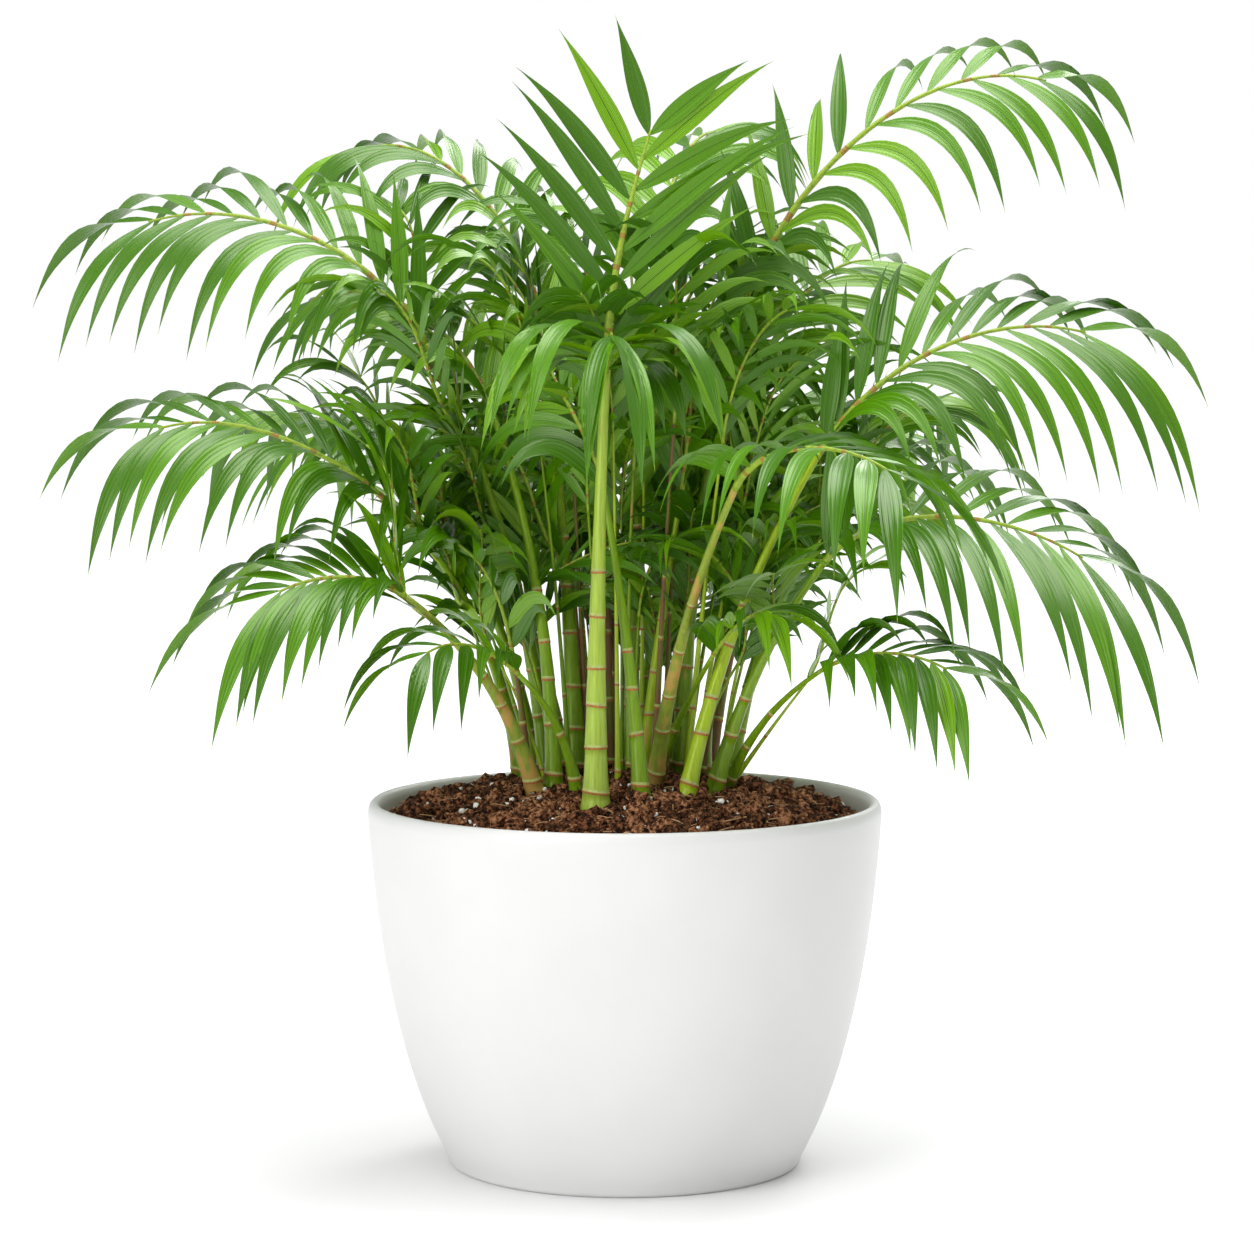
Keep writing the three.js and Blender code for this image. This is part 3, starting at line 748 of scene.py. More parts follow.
@dataclass
class SoilHeap:
    """Heaped potting soil: a crumbly mound with grains and coir fibres on it."""

    planter: Planter
    edge_height: float = 235.0
    crown_height: float = 262.0
    clearance: float = 0.3
    depth: float = 60.0  # of the mound's underside below its edge
    rings: int = 40
    sides: int = 128
    relief: float = 4.6
    swell: float = 16.0  # length of the surface's swells
    calm: float = 12.0  # width of the edge along which they fade away
    seed: int = 9
    fibres: int = 620
    fibre_length: Pair = (8.0, 26.0)
    fibre_half: Pair = (0.25, 0.6)  # half the thickness of a fibre
    fibre_margin: float = 14.0  # how far the middle of a fibre stays from the planter
    fibre_lift: float = 0.8

    def wall(self, height: float) -> float:
        """Returns the radius of the heap's side at a height."""
        return self.planter.wall_radius(height) - self.planter.wall - self.clearance

    @property
    def radius(self) -> float:
        """Radius of the heap where it meets the planter's wall."""
        return self.wall(self.edge_height)

    def height(self, distance: float) -> float:
        """Returns the height of the smooth heap at a distance from the middle."""
        share = distance / self.radius
        return self.crown_height + (self.edge_height - self.crown_height) * share * share

    def surface(self, x: float, y: float) -> float:
        """Returns the height of the crumbly surface at a place."""
        rough = noise.fractal(Vector((x, y, 0.0)) / self.swell, 0.7, 2.2, 4)
        fade = min(1.0, (self.radius - math.hypot(x, y)) / self.calm)
        return self.height(math.hypot(x, y)) + self.relief * rough * max(0.0, fade)

    def mound(self) -> Object:
        """Spins the mound and roughens its top."""
        distances = [self.radius * step / self.rings for step in range(self.rings + 1)]
        low = self.edge_height - self.depth
        bm = spun([*((distance, self.height(distance)) for distance in distances),
                   (self.wall(low), low), (0.0, low)], self.sides)
        for vert in bm.verts:
            if vert.co.z > self.edge_height - 1.0:
                vert.co.z = self.surface(vert.co.x, vert.co.y)
        return new_piece("soil_mound", mesh_from(bm), [PEAT])

    def scattered(self, count: int, random: np.random.Generator, reach: float) -> Iterator[tuple]:
        """Yields places on the surface, spread evenly, with a turn for each."""
        for _ in range(count):
            distance = (self.radius - reach) * math.sqrt(random.random())
            angle = random.uniform(0.0, 2 * math.pi)
            x, y = distance * math.cos(angle), distance * math.sin(angle)
            turn = Matrix.Rotation(random.uniform(0, 2 * math.pi), 3, Vector(random.normal(size=3)))
            yield np.array([x, y, self.surface(x, y)]), np.array(turn)

    def strew(self, grain: Grain) -> Object:
        """Strews one kind of grain over the mound as one joined piece."""
        random, lumps, bed = np.random.default_rng(self.seed + grain.count), grain.shapes(), Bed()
        least, greatest = grain.sizes
        for place, turn in self.scattered(grain.count, random, greatest):
            size = least + (greatest - least) * random.random() ** grain.smallness
            lump = lumps[random.integers(len(lumps))]
            stretch = np.array([1.0, random.uniform(0.6, 1.0), random.uniform(grain.flat, 0.9)])
            points = (lump.points * size * stretch) @ turn.T + place
            points[:, 2] -= grain.sink * size
            bed.add(points, lump, np.full(len(lump.faces), random.integers(len(grain.finishes))))
        return new_piece(grain.name, bed.mesh(), grain.finishes)

    def fibre_bed(self) -> Object:
        """Lays thin curved coir fibres on the mound as one joined piece."""
        bm, bed = bmesh.new(), Bed()
        sweep(bm, [Matrix.Translation((0, 0, step / 6)) for step in range(7)], 4)
        stick = Template.of(bm)
        across, up, share = stick.points[:, 0:1], stick.points[:, 1], stick.points[:, 2:3]
        arch = (share - share * share) * 4  # 0 at a fibre's ends and 1 at its middle
        random = np.random.default_rng(self.seed + 1)
        for place, _ in self.scattered(self.fibres, random, self.fibre_margin):
            length, half = random.uniform(*self.fibre_length), random.uniform(*self.fibre_half)
            ahead = level(random.uniform(0.0, 2 * math.pi))
            along, side = ahead + UP * random.uniform(-0.12, 0.3), np.cross(UP, ahead)
            bend = random.uniform(-0.5, 0.5) * length
            points = place + along * (share - 0.5) * length + side * bend * arch * 0.5
            points = points + side * across * half
            points[:, 2] += (up * half + self.fibre_lift
                             + (arch[:, 0] - 0.5) * random.uniform(0, 3))
            bed.add(points, stick, np.full(len(stick.faces), random.integers(2)))
        return new_piece("soil_fibres", bed.mesh(), [COIR, BARK_CRUMB])

    def build(self) -> None:
        """Makes the mound and everything that lies on it, in the soil's place."""
        for piece in (self.mound(), *map(self.strew, GRAINS), self.fibre_bed()):
            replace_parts(piece, "soil")


# Shoots


@dataclass(frozen=True)
class GrowthRule:
    """The seeded rule that the solids' canes and fronds follow, in the same numbers.

    Angles are in degrees, first and last are the ends of the leafy part of a rib, and a name with
    foot or end in it says how the leaflets change towards that end of the frond.
    """

    width: float = 14.0
    sag: float = 3.2
    spread: float = 52.0
    foot_close: float = 16.0
    spread_end: float = 30.0
    end_length: float = 1.0
    lift: float = -4.0
    foot_lift: float = 44.0
    first: float = 0.03
    last: float = 0.975
    foot_short: float = 0.3
    stagger: float = 0.3
    bend_steps: int = 20
    rib_reach: float = 0.35
    rib_tip: float = 0.75
    spread_jitter: float = 5.0
    lift_jitter: float = 8.0
    sag_jitter: float = 0.2
    length_jitter: float = 0.08
    first_seed: int = 101
    seed_step: int = 37
    cane_taper: float = 0.38
    taper_power: float = 1.7
    clearance: float = 0.3


RULE = GrowthRule()


@dataclass(frozen=True)
class Shoot:
    """Plan of one cane and the frond at its tip, in the solids' own numbers."""

    name: str
    thick: float  # diameter of the cane above its flared foot
    bow: float  # how far the cane's middle swings up; it swings inwards by twice that
    foot: Pair
    top: tuple[float, float, float]
    tip: tuple[float, float, float]
    fall: float  # degrees that the rib's end points below level
    pairs: int
    leaf: float  # length of the longest leaflets
    roll: float = 0.0  # turn of the blade about its rib, degrees
    skew: float = 0.0  # share by which leaflets right of the rib spread more; twice it for sag
    width: float = RULE.width
    sag: float = RULE.sag
    lift: float = RULE.lift
    foot_lift: float = RULE.foot_lift
    twist: float = 0.0  # degrees that a leaflet's face turns, by its tip, towards the frond's end
    spread: float = RULE.spread
    spread_end: float = RULE.spread_end
    end_length: float = RULE.end_length
    slim: float = 0.87  # width of a finer leaflet beside the solid's simpler one
    tone: CaneTone = CaneTone.GREEN
    # How lit the frond's leaflets are painted: more fresh and young greens as painted light through
    # the blades, fewer deep greens as painted shade
    light: float = 0.5  # share of fresh greens among the leaflets


PALE, GREEN, YELLOW, TAN, DARK = CaneTone

SHOOTS = (
    Shoot("centre_top", 17, 2, (-19, -85), (-12, -85, 549), (17, -76, 699), -72, 8, 146, roll=84,
          skew=-0.06, sag=0.5, lift=4, foot_lift=0, width=17, spread=49, spread_end=34,
          end_length=0.56, slim=0.76, tone=PALE, light=0.45),
    Shoot("left_upper", 13, 14, (-53, 25), (-135, 15, 558), (-326, 45, 641), 16, 12, 132, roll=-28,
          skew=-0.15, light=0.2),
    Shoot("left_middle", 12, 16, (-72, 56), (-139, -18, 432), (-310, -46, 503), 16, 12, 130,
          roll=-28, skew=-0.12, end_length=0.94, light=0.2),
    Shoot("left_lower", 12, 14, (-60, -37), (-144, -95, 395), (-224, -120, 400), 26, 11, 116,
          roll=-28, skew=-0.04, spread=56, tone=TAN, light=0.22),
    Shoot("left_low_inner", 9, 8, (-32, -46), (-70, -78, 342), (-128, -130, 361), 24, 6, 84,
          roll=-20, light=0.3),
    Shoot("left_back_upper", 14, 8, (-33, 15), (-58, 62, 569), (-180, 130, 694), 12, 11, 100,
          roll=-12, skew=-0.1, sag=2.6, foot_lift=60, light=0.35),
    Shoot("left_inner", 12, 14, (-48, -26), (-90, 16, 512), (-210, 118, 590), 14, 11, 92, roll=-18,
          skew=-0.1, light=0.4),
    Shoot("right_upper", 14, 10, (39, 26), (80, 36, 575), (290, 70, 738), 14, 12, 115, roll=38,
          skew=0.12, light=0.25),
    Shoot("right_middle", 12, 10, (41, -59), (130, -32, 486), (312, 12, 566), 14, 12, 148, roll=36,
          skew=0.16, tone=YELLOW, light=0.2),
    Shoot("right_front", 12, 14, (20, -24), (71, -140, 468), (163, -232, 484), 26, 9, 124,
          width=17, spread=78, spread_end=38, tone=TAN, light=0.35),
    Shoot("right_lower", 12, 8, (60, -33), (131, -60, 413), (300, -92, 420), 32, 12, 154, roll=24,
          spread=64, spread_end=36, light=0.12),
    Shoot("right_low", 8, 10, (69, -15), (130, -88, 346), (207, -146, 352), 24, 9, 98,
          roll=20, spread_end=36, light=0.3),
    Shoot("right_back_upper", 13, 8, (30, 62), (80, 72, 505), (176, 150, 615), 4, 9, 100, roll=28,
          skew=0.1, sag=1.5),
    Shoot("right_inner_low", 9, 4, (55, 18), (70, 30, 370), (166, 64, 450), 6, 7, 88, light=0.6),
    Shoot("inner_right", 10, 2, (12, -5), (38, 8, 454), (66, 8, 600), -62, 8, 100, roll=50,
          spread=50, tone=YELLOW),
    Shoot("inner_left", 12, 3, (11, -69), (-14, -60, 462), (-54, -8, 552), -60, 8, 100, roll=-60,
          spread=50),
    Shoot("inner_low_left", 8, 2, (-66, 0), (-76, -10, 350), (-112, -30, 425), -30, 6, 76,
          tone=DARK, light=0.4),
    Shoot("inner_low_right", 8, 4, (22, 8), (58, -62, 352), (96, -100, 384), 10, 6, 72, width=13,
          light=0.4),
    Shoot("inner_back", 9, 2, (-14, 46), (-8, 84, 380), (2, 132, 470), -30, 7, 90, width=15,
          tone=DARK, light=0.6),
    Shoot("inner_back_left", 9, 2, (-22, 66), (-44, 88, 392), (-88, 120, 470), -10, 7, 90,
          width=15, tone=DARK, light=0.6),
    Shoot("inner_back_right", 9, 2, (30, 40), (44, 58, 430), (76, 96, 540), -40, 7, 92, width=15,
          tone=DARK, light=0.6),
    Shoot("back_high", 13, 6, (4, 40), (18, 66, 590), (66, 160, 706), 4, 9, 112),
    Shoot("back_centre", 13, 14, (-12, 84), (-24, 148, 500), (-46, 318, 560), 16, 10, 122,
          tone=DARK, light=0.4),
    Shoot("back_left", 12, 14, (-42, 78), (-112, 142, 446), (-214, 262, 482), 20, 10, 118,
          light=0.4),
    Shoot("back_right", 12, 14, (58, 66), (112, 150, 440), (212, 282, 474), 20, 10, 118,
          tone=DARK, light=0.4),
    Shoot("back_low", 10, 16, (12, 98), (26, 190, 396), (52, 306, 400), 30, 8, 104, light=0.4),
    Shoot("left_side", 11, 14, (-62, 84), (-142, 96, 452), (-268, 150, 500), 20, 9, 108,
          light=0.4),
    Shoot("right_side", 12, 12, (72, 36), (146, 96, 462), (232, 188, 508), 20, 10, 106,
          light=0.4),
)


@dataclass
class Cane:
    """One ringed cane from the soil to the foot of its frond."""

    plan: Shoot
    soil: SoilHeap
    sides: int = 16
    sunk: float = 8.0  # how far the cane goes on below the soil's surface
    flare: float = 0.22  # how much thicker the foot is
    flare_height: float = 16.0
    first_ring: Pair = (10.0, 24.0)
    internode: Pair = (24.0, 38.0)
    ringed: float = 0.58  # share of the length that carries rings
    ring_lean: float = 7.0  # most degrees that a ring leans
    smooth_step: float = 14.0  # length between sections where there are no rings
    least_step: float = 0.3
    last_step: float = 4.0
    line: Bezier = field(init=False)

    # Offset from the ring and swelling of the skin at each station round a ring, and the slot of
    # the run that ends there: 0 bark, 1 scar, 2 dry rim
    RING = ((-6.0, -0.02, 0), (-1.2, -0.01, 0), (-0.7, 0.06, 1), (0.5, 0.07, 1), (0.9, 0.03, 2),
            (2.2, 0.035, 2), (12.0, 0.01, 0))

    def __post_init__(self) -> None:
        """Works out the centre line."""
        x, y = self.plan.foot
        foot = np.array([x, y, self.soil.height(math.hypot(x, y)) + RULE.clearance])
        top = np.array(self.plan.top, float)
        outward = unit((top - foot) * (1, 1, 0))
        middle = (foot + top) / 2 - outward * 2 * self.plan.bow + UP * self.plan.bow
        self.line = Bezier(foot, middle, top)

    def radius(self, share: float) -> float:
        """Returns the cane's smooth radius at a share of its length."""
        stem = RULE.cane_taper + (1 - RULE.cane_taper) * (1 - share) ** RULE.taper_power
        flare = self.flare * max(0.0, 1 - share * self.line.length / self.flare_height)
        return self.plan.thick / 2 * (stem + flare)

    def rings(self) -> list[float]:
        """Returns the distances of the ring scars along the cane."""
        draw = repeatable(sum(map(ord, self.plan.name)))
        low, high = self.internode
        found = [within(self.first_ring, draw)]
        while found[-1] < self.ringed * self.line.length:
            found.append(found[-1] + low + (high - low) * draw())
        return found[:-1]

    def runs(self) -> list[tuple[float, float, int, float]]:
        """Returns distance, swelling, slot and lean of every station along the cane."""
        draw = repeatable(1 + sum(map(ord, self.plan.name)))
        runs = [(-self.sunk, 0.05, 0, 0.0), (0.0, 0.0, 0, 0.0)]
        for ring in self.rings():
            before, lean = runs[-1][0], math.radians(self.ring_lean) * (2 * draw() - 1)
            runs += [(ring + offset, swell, slot, lean * (slot > 0 or abs(offset) < 2))
                     for offset, swell, slot in self.RING
                     if before + self.least_step < ring + offset < self.line.length]
        while runs[-1][0] + self.smooth_step < self.line.length - self.last_step:
            runs.append((runs[-1][0] + self.smooth_step, 0.0, 0, 0.0))
        runs.append((self.line.length + RULE.clearance, 0.0, 0, 0.0))
        return runs

    def build(self) -> Object:
        """Sweeps the ringed skin."""
        runs = self.runs()
        distances = np.array([run[0] for run in runs])
        shares = np.clip(distances / self.line.length, 0.0, 1.0)
        centres, tangents = self.line.points(shares), self.line.tangents(shares)
        centres += tangents * (distances - shares * self.line.length)[:, None]
        first = unit(np.cross(BACK, tangents))
        second = np.cross(tangents, first)
        lean = np.array([run[3] for run in runs])[:, None]
        first = first * np.cos(lean) + tangents * np.sin(lean)
        stations = [
            station(centres[i], first[i], second[i], self.radius(shares[i]) * (1 + runs[i][1]))
            for i in range(len(runs))
        ]
        bm = bmesh.new()
        sweep(bm, stations, self.sides, [run[2] for run in runs[1:]])
        piece = new_piece(f"bark_{self.plan.name}", mesh_from(bm),
                          [self.plan.tone.value, CANE_SCAR, CANE_RIM])
        return piece


class LeafletShape:
    """Outline and section of a leaflet, made once and bent along each leaflet's own line."""

    FINE = (0.03, 0.08, 0.14, 0.2, 0.26, 0.33, 0.4, 0.47, 0.54, 0.61, 0.68, 0.75, 0.82, 0.89, 0.95)
    COARSE = (0.03, 0.09, 0.17, 0.27, 0.38, 0.5, 0.62, 0.74, 0.86, 0.95)
    # Place across and height of each corner of a section, in half widths: edges up, rib sunk
    SECTION = ((-1.0, 0.16), (-0.055, 0.0), (0.055, 0.0), (1.0, 0.16), (0.0, -0.1))
    WIDEST = 0.36  # share of the length at which the leaflet is widest
    SHARPNESS = 2.5  # how fast it narrows from there
    # The furrow's faces carry the painted shade of the crease
    MIDRIB, TIP = 1, 2  # slots of the furrow and the tip; the blade has slot 0
    FURROW_REACH, FURROW_DEPTH = 0.2, -0.02  # how far out and down the furrow's faces lie at most
    TIP_START = 0.93  # share of the length

    @classmethod
    def half_width(cls, place: Array) -> Array:
        """Returns the half width at places along the leaflet, as a share of the widest."""
        rise = cls.WIDEST * cls.SHARPNESS
        fall = (1 - cls.WIDEST) * cls.SHARPNESS
        return (place / cls.WIDEST) ** rise * (((1 - place) / (1 - cls.WIDEST)) ** fall)

    @classmethod
    def template(cls, stations: Sequence[float]) -> Template:
        """Sweeps the section once along a straight leaflet of unit length and half width.

        Args:
            stations: Shares of the length at which the leaflet has a section.

        Returns:
            The template.
        """
        bm = bmesh.new()
        corners = len(cls.SECTION)
        sweep(bm, [Matrix.Translation((0, 0, place)) for place in stations], corners)
        bm.verts.ensure_lookup_table()
        for number, vert in enumerate(bm.verts):
            vert.co.x, vert.co.y = cls.SECTION[number % corners]
        for end, place in ((bm.verts[:corners], 0.0), (bm.verts[-corners:], 1.0)):
            cap = next(face for face in bm.faces if set(face.verts) == set(end))
            tip = bmesh.ops.poke(bm, faces=[cap])["verts"][0]
            tip.co = (0.0, 0.0, place)
        for face in bm.faces:
            middle = face.calc_center_median()
            across = max(abs(vert.co.x) for vert in face.verts)
            if across < cls.FURROW_REACH and middle.y > cls.FURROW_DEPTH:
                face.material_index = cls.MIDRIB
            elif middle.z > cls.TIP_START:
                face.material_index = cls.TIP
        return Template.of(bm)


@dataclass
class Frond:
    """One frond: an arching rib with leaflets down both sides."""

    plan: Shoot
    start: Array
    direction: Array
    radius: float
    seed: int
    rib_sides: int = 8
    rib_steps: int = 44
    line: Bezier = field(init=False)
    outward: Array = field(init=False)

    # The greens are painted light and shade: deep is painted shade, fresh and young are painted
    # light through the blade
    LIT = (0.25, 0.62, 0.98)  # how lit a leaflet is where the next fresher green begins
    LIT_BY_PLAN, LIT_SHIFT = 1.2, 0.6
    YELLOWED = 0.35  # share of the leaflets with a yellowing tip
    SWELL = 1.14  # of the rib at a joint

    def __post_init__(self) -> None:
        """Works out the rib's centre line."""
        tip = np.array(self.plan.tip, float)
        span = float(np.linalg.norm(tip - self.start))
        self.outward = unit((tip - self.start) * (1, 1, 0))
        fall = math.radians(self.plan.fall)
        ending = self.outward * math.cos(fall) - UP * math.sin(fall)
        reach = RULE.rib_reach * span
        self.line = Bezier(
            self.start, self.start + self.direction * reach, tip - ending * reach, tip)

    def blade_frame(self, share: float) -> tuple[Array, ...]:
        """Returns a place on the rib, with the ways along it, right of it and out of its blade."""
        point, along = self.line.at(share)
        right = np.cross(self.outward, UP)
        right = unit(right - along * right.dot(along))
        roll = math.radians(self.plan.roll)
        right = right * math.cos(roll) + np.cross(along, right) * math.sin(roll)
        return point, along, right, np.cross(right, along)

    def leaflets(self) -> Iterator[dict[str, float]]:
        """Yields the leaflets with their seeded differences, from the foot to the tip."""
        plan, draw = self.plan, repeatable(self.seed)

        def vary(amount: float) -> float:
            """Returns a number up to an amount either way."""
            return amount * (2 * draw() - 1)

        spacing = (RULE.last - RULE.first) / (plan.pairs - 1)
        for pair in range(plan.pairs):
            for side in (-1, 1):
                shift = 0 if pair == plan.pairs - 1 else side * RULE.stagger * 0.5 * spacing
                place = max(RULE.first, RULE.first + pair * spacing + shift)
                near, far = (1 - place) ** 3, place**3
                spread = (plan.spread - RULE.foot_close * near
                          - (plan.spread - plan.spread_end) * far)
                length = plan.leaf * (1 - RULE.foot_short * near - (1 - plan.end_length) * far)
                lean = plan.skew * side
                yield {
                    "place": place,
                    "side": side,
                    "spread": spread * (1 + lean) + vary(RULE.spread_jitter),
                    "lift": plan.lift + plan.foot_lift * (1 - place) ** 2 + vary(RULE.lift_jitter),
                    "sag": plan.sag * (1 + 2 * lean) * (1 + vary(RULE.sag_jitter)),
                    "length": length * (1 + vary(RULE.length_jitter)),
                }

    def leaflet_line(self, leaflet: dict[str, float]) -> tuple[Array, Array, Array]:
        """Bends one leaflet under its own weight.

        Args:
            leaflet: Its place, side, spread, lift, sag and length.

        Returns:
            Points along it, and the directions across it and out of its upper face at each.
        """
        point, along, right, above = self.blade_frame(leaflet["place"])
        spread, lift = math.radians(leaflet["spread"]), math.radians(leaflet["lift"])
        heading = (along * math.cos(spread)
                   + right * leaflet["side"] * math.sin(spread) * math.cos(lift)
                   + above * math.sin(spread) * math.sin(lift))
        run = leaflet["length"] / RULE.bend_steps
        points, across_all, above_all = [], [], []
        for step in range(RULE.bend_steps + 1):
            across = along * leaflet["side"]
            across = unit(across - heading * across.dot(heading))
            turn = math.radians(self.plan.twist) * step / RULE.bend_steps
            upwards = np.cross(heading, across)
            across = across * math.cos(turn) - upwards * leaflet["side"] * math.sin(turn)
            points.append(point)
            across_all.append(across)
            above_all.append(np.cross(heading, across))
            point = point + heading * run
            bend = 2 * leaflet["sag"] * (step + 0.5) / RULE.bend_steps**2
            heading = unit(heading - UP * bend * math.hypot(*heading[:2]))
        return np.array(points), np.array(across_all), np.array(above_all)

    def tones(self, draw: Draw) -> tuple[int, int]:
        """Deals out the greens of a leaflet's blade, which are painted light and shade by a seeded
        lit value, and of its tip.
        """
        lit = self.plan.light * self.LIT_BY_PLAN + draw() - self.LIT_SHIFT
        blade = sum(lit >= limit for limit in self.LIT)
        return blade, len(self.LIT) + 1 if draw() < self.YELLOWED else blade

    def grow_leaflets(self, bed: Bed, template: Template) -> None:
        """Bends a template along every leaflet and adds it to a joined mesh."""
        draw = repeatable(self.seed + 5)
        steps = np.linspace(0.0, 1.0, RULE.bend_steps + 1)
        place = template.points[:, 2]
        half = LeafletShape.half_width(np.clip(place, 1e-4, 1 - 1e-4))
        places = np.stack([template.points[:, 0] * 0.5 + 0.5, place], axis=1)
        for leaflet in self.leaflets():
            line, across, above = self.leaflet_line(leaflet)
            centre, sideways, outwards = (
                np.stack([np.interp(place, steps, part[:, axis]) for axis in range(3)], axis=1)
                for part in (line, across, above)
            )
            reach = (half * self.plan.width * self.plan.slim / 2)[:, None]
            points = (centre + sideways * reach * template.points[:, :1]
                      + outwards * reach * template.points[:, 1:2])
            blade, tip = self.tones(draw)
            choice = np.array([blade, len(LeafTone), tip])
            bed.add(points, template, choice[template.slots], places)

    def rib(self, bm: BMesh) -> None:
        """Sweeps the rib, a little swollen and corky where leaflets join it."""
        joints = {round(leaflet["place"] * self.rib_steps) for leaflet in self.leaflets()}
        stations, slots = [], []
        for step in range(self.rib_steps + 1):
            share = step / self.rib_steps
            point, _, right, above = self.blade_frame(share)
            radius = self.radius + (RULE.rib_tip - self.radius) * share
            swell = self.SWELL if step in joints else 1.0
            stations.append(station(point, right, above, radius * swell))
            slots.append(int(step in joints and step % 3 == 0))
        sweep(bm, stations, self.rib_sides, slots[1:])


@dataclass
class Studio:
    """Camera at the photograph's place, plain pale floor and soft light."""

    distance: float = 2.706
    height: float = 0.602
    sideways: float = 0.0015
    pitch: float = 85.03  # degrees from straight down
    lens: float = 114.83
    sensor: float = 36.0
    floor_radius: float = 30.0
    floor_sides: int = 96
    clip_end: float = 100.0
    floor_finish: Finish = PaintedFloor("floor_painted_white", 0xF7F7F7, 0.8)
    ambient: float = 0.48  # light from all round; the camera itself sees plain white
    aim: float = 0.4  # height that the lamps look at

    # Name, place and size in metres, and power in watts of each square soft light
    LAMPS = (("key_light", (-1.8, -2.2, 1.9), 1.5, 31.0),
             ("low_fill", (-1.9, -2.5, 0.45), 1.6, 20.0),
             ("top_light", (0.2, 0.1, 2.8), 2.4, 90.0),
             ("back_light", (1.2, 2.2, 1.9), 1.2, 26.0))

    def camera(self) -> None:
        """Makes the camera and makes it the scene's own."""
        data = bpy.data.cameras.new("camera")
        data.lens, data.sensor_width, data.sensor_fit = self.lens, self.sensor, "HORIZONTAL"
        data.clip_end = self.clip_end
        camera = in_scene("camera", data)
        camera.location = (self.sideways, -self.distance, self.height)
        camera.rotation_euler = (math.radians(self.pitch), 0.0, 0.0)
        bpy.context.scene.camera = camera

    def floor(self) -> None:
        """Makes the floor, which isn't part of the object."""
        bm = bmesh.new()
        bmesh.ops.create_circle(bm, cap_ends=True, segments=self.floor_sides,
                                radius=self.floor_radius)
        mesh = bpy.data.meshes.new("floor")
        bm.to_mesh(mesh)
        bm.free()
        mesh.materials.append(material_of(self.floor_finish))
        in_scene("floor", mesh)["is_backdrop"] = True

    def lamps(self) -> None:
        """Hangs the soft lights, which look at the plant's middle."""
        for name, place, size, power in self.LAMPS:
            data = bpy.data.lights.new(name, "AREA")
            data.shape, data.size, data.energy = "SQUARE", size, power
            lamp = in_scene(name, data)
            lamp.location = place
            away = Vector(place) - Vector((0.0, 0.0, self.aim))
            lamp.rotation_euler = away.to_track_quat("Z", "Y").to_euler()
            lamp.visible_camera = False

    def world(self) -> None:
        """Makes the even white surroundings, dimmer as a lamp than they look."""
        world = bpy.data.worlds.new("studio")
        world.use_nodes = True
        tree = world.node_tree
        background = tree.nodes["Background"]
        background.inputs["Color"].default_value = (1.0, 1.0, 1.0, 1.0)
        seen = add_node(tree, "ShaderNodeLightPath").outputs["Is Camera Ray"]
        light = Pattern(tree, background)
        light.feed("Strength", light.spread(seen, self.ambient, 1.0))
        bpy.context.scene.world = world

    def build(self) -> None:
        """Sets up camera, floor, light and the plain view transform."""
        self.camera()
        self.floor()
        self.world()
        self.lamps()
        bpy.context.scene.view_settings.view_transform = "Standard"


